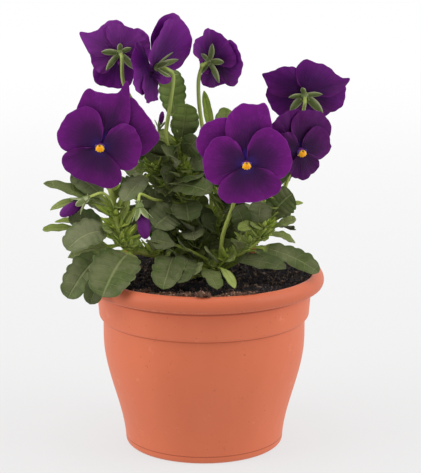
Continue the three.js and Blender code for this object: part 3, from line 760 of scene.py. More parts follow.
def crumb_tree(material):
    """Scatters rough balls over the upward faces of a mesh."""
    tree = Tree(material.name, density=1.0, smallest=0.001, largest=0.002, splits=1, seed=1)
    normal = tree.node("GeometryNodeInputNormal").outputs[0]
    points = scatter_over(tree, Selection=tree.maths("GREATER_THAN", tree.parts(normal)["Z"], 0.5))
    shaded = tree.node(
        "GeometryNodeStoreNamedAttribute", {"data_type": "FLOAT", "domain": "POINT"},
        Geometry=points["Points"], Name="shade", Value=tree.random(7, 0.0, 1.0),
    )
    ball = tree.node("GeometryNodeMeshIcoSphere", Radius=0.5, Subdivisions=tree.inputs["splits"])
    size = tree.random(5, tree.inputs["smallest"], tree.inputs["largest"])
    placed = tree.node(
        "GeometryNodeInstanceOnPoints",
        Points=shaded.outputs[0], Instance=ball.outputs[0], Rotation=tree.random(3, (0, 0, 0), ANY_TURN),
        Scale=tree.scaled(tree.random(4, NARROWEST, WIDEST), size),
    )
    real = tree.node("GeometryNodeRealizeInstances", Geometry=placed.outputs[0])
    dents = tree.node("ShaderNodeTexNoise", Scale=DENT_SCALE, Detail=1.0)
    depth = tree.maths("MULTIPLY", tree.maths("SUBTRACT", dents.outputs["Fac"], 0.5), DENT_DEPTH)
    rough = tree.node("GeometryNodeSetPosition", Geometry=real.outputs[0], Offset=tree.scaled(normal, depth))
    tree.end(rough.outputs[0], material)
    return tree


crumbs = crumb_tree(crumb_paint)
dry_crumbs = crumb_tree(dry_paint)
print("sizes of the crumb trees:", ", ".join(crumbs.ids))

# %% Scatter the crumbs
CRUMB_LAYERS = {
    "fine_crumbs": {"density": 700000.0, "smallest": 0.0005, "largest": 0.0015, "splits": 1, "seed": 11},
    "coarse_crumbs": {"density": 50000.0, "smallest": 0.0012, "largest": 0.0034, "splits": 2, "seed": 12},
}
for name, sizes in CRUMB_LAYERS.items():
    settle(crumbs.grow(name, soil, **sizes), "compost")

# %% [markdown]
# The photo shows a band of dry brown crumbs along the front lip, with a clod that has spilled
# onto it. The same tree scatters them over thin strips that follow the lip. A strip is only a
# bed for the crumbs, and is removed after they have grown.

# %% Dry crumbs along the lip
LIP_BEDS = {
    "dry_band": {"turns": (-130, -70), "radii": (49, 57.6), "lift": 0.7},
    "clod": {"turns": (-93, -87.2), "radii": (55, 62.5), "lift": 2.4},
    "spill": {"turns": (-72, -64), "radii": (56, 61), "lift": 1.4},
}
DRY_SIZES = {
    "dry_band": {"density": 900000.0, "largest": 0.0021},
    "clod": {"density": 1800000.0, "largest": 0.0026},
    "spill": {"density": 900000.0, "largest": 0.0018},
}
SMALLEST_DRY = 0.0006
FIRST_DRY_SEED = 20
BED_ROWS = 6
BED_STEPS = 24
LIP_TOP = 96.4


def lip_bed(name, turns, radii, lift):
    """A strip along the lip: over the compost inside it, and over the lip outside it."""
    angles = np.radians(np.linspace(*turns, BED_STEPS))
    hump = lift * np.sin(math.pi * np.linspace(0.2, 0.8, BED_STEPS))
    rows = []
    for radius in np.linspace(*radii, BED_ROWS):
        x, y = radius * np.cos(angles), radius * np.sin(angles)
        ground = soil_height(x, y) if radius < SOIL_RADIUS else np.full(BED_STEPS, LIP_TOP)
        rows.append(np.column_stack([x, y, ground + hump]))
    ids = np.arange(BED_ROWS * BED_STEPS).reshape(BED_ROWS, BED_STEPS)
    faces = np.stack([ids[:-1, :-1], ids[1:, :-1], ids[1:, 1:], ids[:-1, 1:]], axis=-1).reshape(-1, 4)
    return add_object(name, mesh_of(name, np.concatenate(rows), faces.tolist()))


for seed, (name, bed) in enumerate(LIP_BEDS.items(), FIRST_DRY_SEED):
    strip = lip_bed(name, **bed)
    made = dry_crumbs.grow(f"{name}_crumbs", strip, smallest=SMALLEST_DRY, splits=1, seed=seed,
                           **DRY_SIZES[name])
    bpy.data.objects.remove(strip)
    settle(made, "compost")

# %% [markdown]
# ## Where things grow
# The shoots, leaves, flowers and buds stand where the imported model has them, so the tables below
# hold the same places and sizes, in millimetres. A stem says its radius at both ends and the
# points that it runs through. A leaf says which stem it is on and where, its tip, its width and
# what sets it apart. A flower says where its stalk leaves the stem, its centre, which way it
# faces, and for each petal its turn from the top, its reach, its width, its slope and the
# corners in its edge.


# %% Stems
def stem(start, end, *points):
    """One stem: its radius at its start and its end, and the points that it runs through."""
    return {"start": start, "end": end, "points": points}


STEMS = {
    "left": stem(2.2, 1.3, (-6, -3, 78), (-6, -3, 93.5), (-15, -8, 103), (-28, -14, 108), (-41, -18, 113),
                 (-46, -17, 122), (-47, -15, 133), (-50, -13, 145)),
    "centre": stem(2.1, 1.2, (-2, 3, 78), (-3, 2, 94), (-8, 2, 118), (-11, 2, 136), (-13, 2, 152),
                   (-14, 3, 166)),
    "middleLeft": stem(1.8, 1.2, (-3, 2, 96), (-12, 4, 106), (-18, 4, 120), (-22, 4, 136), (-26, 3, 150),
                       (-28, 4, 158)),
    "behind": stem(1.8, 1.1, (-4, 2, 97), (4, 5, 106), (9, 4, 118), (9, 5, 134), (8, 6, 150), (5, 6, 162)),
    "right": stem(2.1, 1.2, (4, -6, 78), (4, -6, 93.5), (11, -10, 103), (21, -14, 110), (30, -14, 118),
                  (34, -11, 127), (37, -8, 137)),
    "back": stem(2, 1.1, (1, 14, 78), (1, 14, 93.5), (3, 20, 110), (4, 24, 130), (2, 25, 148)),
    "backLeft": stem(1.6, 1.1, (1, 14, 95), (-11, 20, 104), (-25, 26, 115), (-33, 28, 134)),
    "backRight": stem(1.6, 1.1, (1, 15, 96), (14, 20, 104), (28, 23, 115), (37, 23, 133)),
}

SHOOTS = {
    "left": ["left"],
    "middle": ["centre", "middleLeft", "behind"],
    "right": ["right"],
    "back": ["back", "backLeft", "backRight"],
}


def on_stem(name, at):
    """The point of a stem at a place that is counted by the stem's points."""
    points = STEMS[name]["points"]
    return path_through(points, [at / (len(points) - 1)])[0]


print("stems:", len(STEMS))


# %% Leaves
def leaf(on, at, tip, wide, **more):
    """One leaf, with what it doesn't say filled in."""
    usual = {"face": (0, -0.5, 1), "rise": 4, "blade": 0.7, "outline": "oval", "fold": 0.2}
    usual["teeth"] = 2 if wide < 12 else 3
    return {"on": on, "at": at, "tip": tip, "wide": wide, **usual, **more}


LEAVES = {
    "left": [
        leaf("left", 6, (-84, -22, 148), 10, outline="long", blade=0.85, rise=3),
        leaf("left", 5.9, (-70, -14, 152), 14, face=(0, -0.8, 0.8)),
        leaf("left", 6.7, (-66, 2, 152), 13),
        leaf("left", 5.7, (-81, -19, 133), 6, outline="long", teeth=2, rise=12),
        leaf("left", 5.1, (-79, -16, 126), 5, outline="long", teeth=2),
        leaf("left", 4.8, (-85, -22, 123), 6.5, outline="spoon", blade=0.55, teeth=2),
        leaf("left", 4.6, (-71, -38, 116), 17, face=(-0.2, -1, 0.6), rise=12, blade=0.75, teeth=4),
        leaf("left", 5, (-71, -25, 129), 13, face=(0, -0.8, 0.7)),
        leaf("left", 3.6, (-52, -54, 95), 26, face=(-0.05, -1, 0.8), rise=10, blade=0.8, teeth=5),
        leaf("left", 4.2, (-71, -38, 90), 18, face=(-0.3, -1, 0.5), rise=13, blade=0.6, teeth=4),
        leaf("left", 3.8, (-59, -46, 89), 12, face=(-0.1, -1, 0.4), rise=15, blade=0.38),
        leaf("left", 4.1, (-72, -22, 108), 9, outline="comb", face=(0, -1, 0.4)),
        leaf("left", 4.7, (-39, -20, 140), 6, outline="long", teeth=2),
        leaf("left", 4.4, (-35, -22, 135), 5, outline="long", teeth=2),
        leaf("left", 5.2, (-60, 6, 134), 13),
        leaf("left", 4.5, (-34, -8, 131), 11, face=(0, -0.9, 0.6)),
        leaf("left", 3.2, (-46, 8, 122), 14, face=(0, 0.3, 1)),
    ],
    "middle": [
        leaf("middleLeft", 3.3, (4, -27, 144), 13, face=(0, -0.9, 0.7), rise=5, blade=0.86),
        leaf("centre", 2.6, (-26, -20, 124), 18, face=(0, -1, 0.6), teeth=4),
        leaf("centre", 2.9, (-8, -22, 128), 17, face=(0, -1, 0.5)),
        leaf("centre", 2, (-5, -20, 117), 13, face=(0, -1, 0.4)),
        leaf("middleLeft", 1.2, (-21, -50, 98), 17, rise=6, face=(0, -0.9, 0.8), teeth=4),
        leaf("centre", 1.4, (-13, -45, 100), 13, rise=8, face=(0.1, -0.8, 0.8)),
        leaf("centre", 1.2, (-6, -37, 102), 10, rise=7),
        leaf("centre", 1.1, (7, -52, 98.5), 10, rise=8, blade=0.62, face=(0.2, -0.7, 1)),
        leaf("behind", 1.2, (20, -8, 124), 12, face=(0.2, -1, 0.4)),
        leaf("behind", 3, (12, -8, 150), 15, face=(0, -1, 0.2)),
        leaf("behind", 2.6, (15, -10, 133), 11, face=(0, -1, 0.3)),
        leaf("centre", 4.8, (-18, 9, 204), 15, face=(0, -1, 0.2), rise=0, blade=0.62, teeth=5),
        leaf("centre", 4.4, (-9, -8, 188), 15, face=(0.2, -1, 0.2), rise=0, teeth=4),
        leaf("centre", 4.6, (-3, -3, 179), 7, face=(0, -1, 0.3), outline="long", teeth=2),
        leaf("behind", 4.6, (0, -2, 176), 8, face=(0, -1, 0.4), outline="long", teeth=2),
        leaf("behind", 4.3, (0, 12, 192), 5, face=(0, -1, 0.2), outline="long", teeth=2, rise=0),
        leaf("middleLeft", 3.9, (-42, 2, 190), 10, face=(0.3, -1, 0.3), outline="spoon", rise=2),
        leaf("middleLeft", 4.5, (-29, -6, 178), 7, face=(0, -1, 0.3), outline="long", teeth=2),
        leaf("middleLeft", 3.8, (-27, -12, 170), 14, face=(0, -1, 0.4)),
        leaf("middleLeft", 4, (-42, -25, 139), 12, face=(-0.1, -0.9, 0.8)),
        leaf("middleLeft", 4.3, (-42, -2, 164), 14, face=(0, -0.8, 0.8)),
        leaf("middleLeft", 3.3, (-42, -14, 141), 17, face=(-0.2, -0.9, 0.8), teeth=4),
        leaf("behind", 4.9, (13, 14, 182), 9, face=(0, -1, 0.5)),
        leaf("middleLeft", 2.2, (-38, 12, 128), 15, face=(-0.2, 0.4, 1)),
        leaf("centre", 3.6, (6, -10, 162), 13, face=(0.2, -0.9, 0.6)),
        leaf("centre", 3.9, (-20, -18, 163), 14, face=(-0.1, -0.9, 0.6)),
        leaf("centre", 4, (-3, -11, 170), 12, face=(0, -1, 0.4)),
        leaf("centre", 3.2, (-23, -7, 151), 12, face=(0, -1, 0.5)),
        leaf("behind", 2, (0, -9, 122), 12, face=(0, -1, 0.4)),
        leaf("behind", 2.3, (22, -3, 133), 13, face=(0.2, -1, 0.5)),
    ],
    "right": [
        leaf("right", 1.6, (-28, -26, 119), 11, outline="spoon", blade=0.4, rise=5, face=(0, -1, 0.6)),
        leaf("right", 1.5, (16, -50, 98.5), 5.5, rise=6, outline="long", teeth=2),
        leaf("right", 2.1, (43, -34, 105), 11, rise=4, outline="long", face=(0, -0.8, 1), blade=0.85),
        leaf("right", 2.9, (43, -20, 106), 12, rise=5),
        leaf("right", 3.3, (60.5, -28, 101.5), 12.5, rise=6, blade=0.8, teeth=5, face=(0.1, -0.8, 0.9)),
        leaf("right", 4, (49, -4, 112), 8, outline="long", teeth=2),
        leaf("right", 3.6, (49, -14, 127), 7.5, outline="spoon", teeth=2, blade=0.6),
        leaf("right", 6, (45, -1, 161), 12, face=(-0.2, -1, 0.3), blade=0.8),
        leaf("right", 4.6, (47, -14, 141), 17, face=(0, -1, 0.4), teeth=4, blade=0.8),
        leaf("right", 5, (53, -5, 134), 4, outline="long", teeth=2),
        leaf("right", 3.4, (17, -22, 136), 11, face=(0, -1, 0.3)),
        leaf("right", 3.8, (30, -20, 138), 13, face=(0, -1, 0.3)),
        leaf("right", 4.4, (18, -26, 124), 7, face=(0, -1, 0.8), outline="long", teeth=2),
        leaf("right", 4.4, (47, 14, 115), 13, face=(0.3, 0.1, 1)),
        leaf("right", 5.9, (30, -2, 160), 10, face=(0, -1, 0.3)),
    ],
    "back": [],
}

# %% Leaves that the front view hides
GOLDEN_ANGLE = 2.4
SPIRALS = [("back", 5, 1.6), ("backLeft", 5, 2.6), ("backRight", 5, 0.4)]
HIDDEN_SWING = 1.3
HIDDEN_PLACE = (0.3, 0.68)
HIDDEN_REACH = (27, -10)
HIDDEN_RISE = (12, 8)
HIDDEN_WIDE = (23, -8)
for on, count, first in SPIRALS:
    top = len(STEMS[on]["points"]) - 1
    for k in range(count):
        share = k / (count - 1)
        at = top * vary(HIDDEN_PLACE, share)
        angle = vary((first, HIDDEN_SWING), math.sin(GOLDEN_ANGLE * k))
        tip = on_stem(on, at) + spoke(angle, vary(HIDDEN_REACH, share), vary(HIDDEN_RISE, share))
        wide = vary(HIDDEN_WIDE, share)
        LEAVES["back"].append(leaf(on, at, tuple(tip), wide, face=(0, -0.4, 1), rise=3, teeth=2))
print("leaves:", {shoot: len(rows) for shoot, rows in LEAVES.items()})

# %% Flowers
FLOWERS = [
    {
        "name": "flower_front_left", "shoot": "left", "from": ("left", 4.6),
        "stalk": [(-44, -6, 131), (-47, 1, 145), (-52, 2, 158)],
        "centre": (-54, -20, 167), "faces": (-0.05, -1, -0.05),
        "petals": [
            (56, 29.5, 33, -0.1, (0.32, 0.12), (-0.3, 0.05)),
            (5, 28.5, 28, -0.08, (-0.26, 0.13), (0.32, 0.42)),
            (-50, 24, 27, 0.03), (90, 21.5, 25, 0.03), (202, 21, 33, 0.03),
        ],
    },
    {
        "name": "flower_top_left", "shoot": "middle", "from": ("middleLeft", 4.7),
        "stalk": [(-31, 8, 170), (-37, 10, 184), (-43, 9, 197)],
        "centre": (-46, 15, 213), "faces": (-0.25, 0.93, 0.15),
        "sepals": [(0, 5, 3), (82, 10, 3.6), (138, 11, 3.6), (224, 12, 3.8), (296, 6, 3)],
        "petals": [
            (-30, 14.5, 26, -0.02, (-0.42, 0.12)), (43, 17.5, 24, -0.02, (0.25, 0.4)),
            (-84, 18, 22, -0.02), (98, 15.5, 22, -0.02), (171, 22, 23, -0.02),
        ],
    },
    {
        "name": "flower_top_middle", "shoot": "middle", "from": ("centre", 4.2),
        "stalk": [(-20, -4, 168), (-18, -4, 186), (-16, -8, 202)],
        "centre": (-28, -8, 207), "faces": (-0.9, 0.35, -0.1), "sweep": 0.8,
        "petals": [
            (14, 25, 30, -0.51), (-42, 27, 38, -0.52),
            (84, 14, 28, 0.3), (-96, 18, 18, -0.3), (180, 19, 22, 0),
        ],
    },
    {
        "name": "flower_top_centre", "shoot": "middle", "from": ("behind", 3.4),
        "stalk": [(2, 6, 160), (-2, 7, 180), (-3, 8, 197), (-1, 9, 206)],
        "centre": (5, 13, 208), "faces": (0.62, 0.78, 0.05),
        "sepals": [(-26, 11, 4), (42, 5, 3), (140, 8, 3.4), (222, 13, 4.2), (276, 12, 3.6)],
        "petals": [
            (-38, 17, 26, -0.04), (24, 14.5, 20, -0.04),
            (-92, 20, 25, -0.04), (86, 9, 16, -0.04), (200, 14.5, 25, -0.04),
        ],
    },
    {
        "name": "flower_top_right", "shoot": "right", "from": ("right", 4.2),
        "stalk": [(40, 3, 132), (48, 8, 154), (52, 9, 174)],
        "centre": (54, 9, 192), "faces": (0.05, 0.9, 0.42),
        "sepals": [(14, 5.6, 3), (90, 8, 3), (137, 11, 4.4), (226, 13, 5), (284, 9, 3.2)],
        "petals": [
            (-38, 21, 28, -0.03, (-0.36, 0.3), (0.4, 0.1)), (56, 22, 20, -0.03, (0.1, 0.16)),
            (-96, 22, 24, 0), (112, 21, 24, 0), (192, 20, 26, 0),
        ],
    },
    {
        "name": "flower_front_right", "shoot": "right", "from": ("right", 1.7),
        "stalk": [(10, -13, 118), (15, -17, 134), (19, -16, 148)],
        "centre": (22, -32, 160), "faces": (0.05, -1, -0.05),
        "petals": [
            (-49, 29.5, 25, -0.08), (4, 31.5, 24, -0.08, (0.25, 0.1)),
            (-80, 22.5, 26, 0.03), (66, 24, 28, 0.03), (172, 21, 33, 0.03),
        ],
    },
    {
        "name": "flower_right", "shoot": "right", "from": ("right", 5),
        "stalk": [(41, -4, 136), (46, 0, 150), (48, 2, 160)],
        "centre": (51, -11, 163), "faces": (0.35, -0.9, -0.2),
        "petals": [
            (-28, 23, 24, -0.08), (26, 23, 24, -0.08),
            (-80, 17, 20, 0), (66, 17.5, 19, 0, (0.3, 0.08)), (164, 15, 17, 0.1, (0.05, 0.08)),
        ],
    },
]
for flower in FLOWERS:
    flower["centre"] = np.array(flower["centre"], float)
    flower["axes"] = look_along(flower["faces"])
print("flowers:", ", ".join(flower["name"] for flower in FLOWERS))

# %% Room round the flowers
FLOWER_ROOM = 27.0
FLOWER_DEPTH = 6.5
POT_ROOM = 52
POT_CLEAR = 102


def is_clear(point):
    """Whether a point, and so a small leaf that ends there, keeps away from flowers and pot."""
    for flower in FLOWERS:
        away, out = point - flower["centre"], flower["axes"][0]
        depth = away @ out
        if abs(depth) < FLOWER_DEPTH and np.linalg.norm(away - depth * out) < FLOWER_ROOM:
            return False
    return np.hypot(point[0], point[1]) < POT_ROOM or point[2] > POT_CLEAR


print("a point over the plant is clear:", is_clear(np.array((0, 0, 300))))

# %% Buds
BUDS = [
    {
        "name": "bud_left", "shoot": "left", "from": ("left", 6.2), "stalk": [(-53, -18, 142)],
        "base": (-60, -23, 141), "tip": (-75, -28, 132), "wide": 11,
    },
    {
        "name": "bud_hanging", "shoot": "middle", "from": ("middleLeft", 2.8),
        "stalk": [(-27, -14, 138), (-33, -25, 143)],
        "base": (-34, -29, 140), "tip": (-30, -34, 121), "wide": 12,
    },
    {
        "name": "bud_upper", "shoot": "middle", "from": ("middleLeft", 4.95), "stalk": [],
        "base": (-24, 4, 172), "tip": (-22, 4, 182), "wide": 5,
    },
]
for bud in BUDS:
    bud["base"] = np.array(bud["base"], float)
    reach = np.array(bud["tip"], float) - bud["base"]
    bud["length"] = np.linalg.norm(reach)
    bud["axes"] = look_along(reach)


def on_shoot(shoot, table):
    """The flowers or the buds of one shoot."""
    return [row for row in table if row["shoot"] == shoot]


print("buds:", {shoot: len(on_shoot(shoot, BUDS)) for shoot in SHOOTS})

# %% [markdown]
# ## Small leaves
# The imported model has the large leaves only. Between them the plant is full of small ones, which
# sit close to the stems, and at each leaf's foot there are two stipules: a long narrow lobe with
# shorter ones on both sides, like a comb. Both follow a rule here. A small leaf goes up the stem
# a golden angle on from the one below it, and is left out where a flower is in its way.

# %% Small leaves by rule
SMALL_LEAVES = [
    ("left", 16, 16, 1.4, 7), ("left", 8, 20, 1.0, 2.6),
    ("centre", 30, 20, 1.2, 5), ("centre", 20, 27, 1.0, 1.8), ("centre", 12, 30, 2.4, 3.6),
    ("middleLeft", 30, 20, 0.7, 5), ("behind", 26, 20, 0.8, 5),
    ("right", 15, 15, 1.4, 6), ("right", 9, 20, 1.0, 2.2),
    ("back", 12, 20, 1.1, 4), ("backLeft", 8, 18, 0.6, 3), ("backRight", 8, 18, 0.6, 3),
]
SMALL_SHRINK = (1, -0.3)
SMALL_REACH = (0.75, 0.25)
SMALL_RISE = (0.45, 0.35)
SMALL_FOLD = (0.2, 0.12)
SMALL_WIDE = (2, 0.5)
SMALL_LEAN = 0.4


def small_leaves(name, count, longest, first, last):
    """A row of small leaves on one stem, between its two places, the longest ones lowest."""
    rows = []
    for k in range(count):
        share = k / (count - 1)
        at = first + (last - first) * share
        reach = longest * vary(SMALL_SHRINK, share) * vary(SMALL_REACH, math.sin(5 * k))
        rise = reach * vary(SMALL_RISE, math.cos(3 * k))
        tip = on_stem(name, at) + spoke(GOLDEN_ANGLE * k + first, reach, rise)
        if is_clear(tip):
            face = (SMALL_LEAN * math.sin(7 * k), -0.6, 0.8)
            outline = "long" if k % 3 == 1 else "oval"
            rows.append(leaf(name, at, tuple(tip), vary(SMALL_WIDE, reach), face=face, rise=2, teeth=2,
                             blade=0.78, outline=outline, fold=vary(SMALL_FOLD, math.sin(4 * k))))
    return rows


SMALL = {
    shoot: [row for entry in SMALL_LEAVES if entry[0] in stems for row in small_leaves(*entry)]
    for shoot, stems in SHOOTS.items()
}
print("small leaves:", {shoot: len(rows) for shoot, rows in SMALL.items()})

# %% [markdown]
# ## Leaf finish
# The upper face of a pansy leaf is a dull dark green with pale veins, and the lower face is
# greyer. The leaf's shell carries which face a point is on, how far along the blade it is and
# where the side veins run, so one finish paints both faces. Light comes through a little.


# %% Leaf finish
def leaf_finish():
    """Dull olive green above, grey-green below, with faint veins and mottling."""
    paint = Finish("leaf_green", Roughness=0.65, Specular_IOR_Level=0.22, Subsurface_Weight=0.1,
                   Subsurface_Radius=(0.4, 1.0, 0.15), Subsurface_Scale=0.0012)
    across, along = paint.across_and_along()
    side = paint.apart(across, 0.5)
    tone = paint.value("tone")
    from_vein = paint.apart(paint.maths("FRACT", paint.value("vein")), 0.5)
    side_vein = paint.times(paint.fade(from_vein, 0.01, 0.07), paint.fade(side, 0.2, 0.48))
    veins = paint.maths("MAXIMUM", paint.fade(side, 0.01, 0.045), paint.times(side_vein, 0.5))
    mottle = paint.noise(2.2, 4, rough=0.6)
    upper = paint.tints(
        paint.blend(mottle, colour(44, 58, 22), colour(104, 118, 58)),
        patches=(paint.step(paint.noise(12, 2), 0.38, 0.62), 0.55, (120, 121, 86)),
        veins=(veins, 0.55, (150, 158, 106)),
    )
    under = paint.tints(
        paint.blend(mottle, colour(108, 114, 84), colour(148, 148, 118)),
        veins=(veins, 0.5, (164, 168, 128)),
    )
    base = paint.tints(
        paint.blend(paint.value("upper"), under, upper),
        shaded=(paint.step(tone, -1, 1), 0.5, (50, 58, 34)),
        pale=(paint.step(paint.times(tone, -1), 0.1, 1), 0.3, (136, 138, 112)),
        high=(paint.step(paint.height(), 0.168, 0.186), 0.55, (112, 136, 50)),
        young=(paint.value("young"), 0.85, (208, 228, 100)),
        # A darker margin: partly the leaf's own darker edge, partly painted shade where the edge rolls over.
        margin=(paint.step(side, 0.36, 0.47), 0.4, (50, 66, 28)),
        rim=(paint.step(side, 0.47, 0.5), 0.3, (138, 148, 96)),
        stalk=(paint.fade(along, -0.02, 0.1), 0.8, (168, 186, 82)),
    )
    relief = paint.bump(paint.times(veins, -1.0), 0.32, paint.bump(paint.noise(0.5, 3), 0.08))
    return paint.finish(base, normal=paint.bump(paint.noise(3, 2), 0.35, relief))


leaf_paint = leaf_finish()
print("finish:", leaf_paint.name)

# %% [markdown]
# ## Leaves
# A pansy leaf is a spoon-shaped blade on a narrow stalk, with rounded teeth along its edge and
# side veins that run forward into them. The blade is a grid whose rows bend forward as the side
# veins do, so that every few rows one lies on a vein and can be pressed in. Between the veins
# the blade puffs up, along the midrib it folds, and its edge waves.

# %% Leaf outline
OUTLINES = {
    "oval": {"grow": 0.55, "fall": 0.42, "notch": 0.15},
    "long": {"grow": 0.75, "fall": 0.6, "notch": 0.12},
    "spoon": {"grow": 1.3, "fall": 0.45, "notch": 0.1},
    "comb": {"grow": 0.45, "fall": 0.7, "notch": 0.72},
}
PETIOLE_HALF = 0.75
TIP_HALF = 0.12
NOTCH_DEEPER = 0.95
TOOTH_ROUND = 0.6


def tooth_count(item):
    """Teeth on each side of a leaf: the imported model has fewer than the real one."""
    return item["teeth"] + (2 if item["wide"] > 15 else 1)


def half_width(item, s):
    """Half the blade's width at a share of its length, with its rounded teeth."""
    shape = OUTLINES[item["outline"]]
    grow, fall, notch = shape["grow"], shape["fall"], shape["notch"]
    peak = grow / (grow + fall)
    body = (s**grow * (1 - s) ** fall) / (peak**grow * (1 - peak) ** fall)
    lobes = np.abs(np.sin(math.pi * tooth_count(item) * s)) ** TOOTH_ROUND
    teeth = 1 - NOTCH_DEEPER * notch * (1 - lobes)
    narrowest = np.where(s < peak, PETIOLE_HALF, TIP_HALF)
    return np.maximum(narrowest, 0.5 * item["wide"] * body * teeth)


print("half width of a leaf half way:", half_width(LEAVES["left"][1], np.array([0.5])))

# %% Leaf shell
LEAF_COLUMNS = 11
PETIOLE_ROWS = 6
ROWS_PER_TOOTH = 7
EDGE_CURL = 0.06
VEIN_SWEEP = 0.09
BLADE_THICKNESS = 0.42
PUFF = 0.06
WAVE = 0.09
STALK_THICKNESS = 1.25
MIDRIB_THICKNESS = 0.5
YOUNGEST = 0.6
TONE_START = 3


def add_leaf(shells, item, tone):
    """Adds one leaf: its stalk and its veined blade are one closed sheet."""
    base, tip = on_stem(item["on"], item["at"]), np.array(item["tip"], float)
    bow = (base + tip) / 2 + (0, 0, item["rise"])
    start = 1 - item["blade"]
    veins = tooth_count(item)
    blade = np.linspace(0, 1, ROWS_PER_TOOTH * veins + 1)
    rows = np.concatenate([np.linspace(-start / item["blade"], 0, PETIOLE_ROWS, endpoint=False), blade])
    v = np.sin(np.linspace(-math.pi / 2, math.pi / 2, LEAF_COLUMNS))
    s = rows[:, None] + VEIN_SWEEP * np.abs(v) * np.sin(math.pi * np.clip(rows, 0, 1))[:, None]
    u = np.clip(start + item["blade"] * s, 0, 1)[..., None]
    s = np.clip(s, 0, 1)
    midrib = (1 - u) ** 2 * base + 2 * u * (1 - u) * bow + u**2 * tip
    along = 2 * (1 - u) * (bow - base) + 2 * u * (tip - bow)
    across = unit(np.cross(along, unit(item["face"])))
    normal = unit(np.cross(across, along))
    half = half_width(item, s)
    from_vein = np.abs((veins * rows) % 1 - 0.5)[:, None]
    is_blade = smooth(8 * s)
    puff = PUFF * half * smooth(from_vein / 0.3) * smooth(np.abs(v) / 0.3) * is_blade
    wave = WAVE * np.sin(3 * math.pi * s + item["tip"][0]) * v
    edge = EDGE_CURL * np.sin(7 * math.pi * s + item["tip"][1]) * np.abs(v) ** 3
    lift = half * (item["fold"] * np.abs(v) + wave + edge) + puff
    grid = midrib + across * (half * v)[..., None] + normal * lift[..., None]
    stalk = STALK_THICKNESS * np.sqrt(1 - 0.85 * v**2)
    keel = MIDRIB_THICKNESS * np.exp(-((half * v / 0.5) ** 2)) * (1 - s)
    flat = BLADE_THICKNESS * (1 - 0.6 * np.abs(v) ** 3) + keel
    thickness = stalk + (flat - stalk) * is_blade
    uv = paired((v + 1) / 2, rows[:, None])
    young = YOUNGEST * np.clip(1.1 - item["wide"] / 10, 0, 1)
    shells.add_sheet(grid, normal, thickness, uv, vein=(veins * rows)[:, None], tone=tone, young=young)


def leaves_piece(name, rows):
    """All the leaves of a table as one piece. Their tones differ from one to the next."""
    blades = Shells()
    for number, item in enumerate(rows):
        add_leaf(blades, item, math.sin(GOLDEN_ANGLE * number + TONE_START))
    return blades.piece(name, leaf_paint)


for shoot in SHOOTS:
    settle(leaves_piece(f"{shoot}_leaves", LEAVES[shoot]), "foliage", f"shoot_{shoot}")
for shoot in SHOOTS:
    settle(leaves_piece(f"{shoot}_small_leaves", SMALL[shoot]), "foliage")

# %% Stipules
LOBE_ROWS = 9
LOBE_COLUMNS = 5
LOBE_THICKNESS = 0.36
LOBE_RISE = 0.22
LOBE_WIDE = (1.5, 1.1)
LOBE_CUP = 0.35
LOBE_YOUNG = (0.75, 0.2)
STIPULE_LENGTH = (7, 4)
STIPULE_TURN = (0.9, 0.3)
STIPULE_RISE = (0.5, 0.4)
CROWN_REACH = (0.7, 0.3)
CROWN_RISE = (0.15, 0.6)
CROWN_WIDE = (2.2, 0.8)
LOBE_WIDTHS = ([0, 0.2, 0.55, 0.85, 1], [0.45, 0.75, 1.0, 0.6, 0.08])
LOBE_FACE = (0, -0.6, 0.8)
LOBES = [(0.0, 0.0, 1.0), (0.08, 0.75, 0.5), (0.08, -0.75, 0.5), (0.25, 0.6, 0.42), (0.25, -0.6, 0.42)]
CROWNS = [("right", 1.35, 16, 19), ("right", 4.4, 8, 13), ("left", 4.35, 10, 16), ("left", 5.6, 8, 13),
          ("centre", 1.3, 9, 15), ("centre", 3.4, 8, 14), ("behind", 3.6, 8, 13)]


def add_lobe(shells, base, reach, wide, tone):
    """Adds one narrow lobe, which bends up towards its tip."""
    t = np.linspace(0, 1, LOBE_ROWS)[:, None, None]
    v = np.linspace(-1, 1, LOBE_COLUMNS)[None, :, None]
    length = np.linalg.norm(reach)
    across = unit(np.cross(reach, LOBE_FACE))
    normal = np.cross(across, unit(reach))
    half = 0.5 * wide * np.interp(t, *LOBE_WIDTHS)
    grid = base + reach * t + np.array((0, 0, LOBE_RISE * length)) * t**2
    grid = grid + across * (half * v) + normal * (LOBE_CUP * half * v**2)
    uv = paired((v[..., 0] + 1) / 2, t[..., 0])
    young = vary(LOBE_YOUNG, tone)
    shells.add_sheet(grid, normal, LOBE_THICKNESS, uv, vein=0.0, tone=tone, young=young)


def add_stipules(shells, item, number):
    """Adds the pair of comb-shaped stipules at the foot of a leaf."""
    base = on_stem(item["on"], item["at"])
    away = np.array(item["tip"], float) - base
    heading = math.atan2(away[1], away[0])
    length = vary(STIPULE_LENGTH, math.sin(GOLDEN_ANGLE * number) ** 2)
    for side in (-1, 1):
        angle = heading + side * vary(STIPULE_TURN, math.sin(number))
        axis = unit(spoke(angle, 1, vary(STIPULE_RISE, math.cos(3 * number))))
        if not is_clear(base + length * axis):
            continue
        sideways = unit(np.cross(axis, LOBE_FACE))
        for place, turn, size in LOBES:
            reach = length * size * (math.cos(turn) * axis + math.sin(turn) * sideways)
            foot = base + place * length * axis
            add_lobe(shells, foot, reach, vary(LOBE_WIDE, size), math.sin(number + turn))


def add_crown(shells, name, at, count, longest):
    """Adds a star of narrow bright lobes round a stem, where a side shoot has only begun."""
    base = on_stem(name, at)
    for k in range(count):
        heading = unit(spoke(GOLDEN_ANGLE * k, 1, vary(CROWN_RISE, (k % 3) / 2)))
        reach = longest * vary(CROWN_REACH, math.sin(5 * k)) * heading
        if is_clear(base + reach):
            add_lobe(shells, base, reach, vary(CROWN_WIDE, math.cos(3 * k)), 1.0)


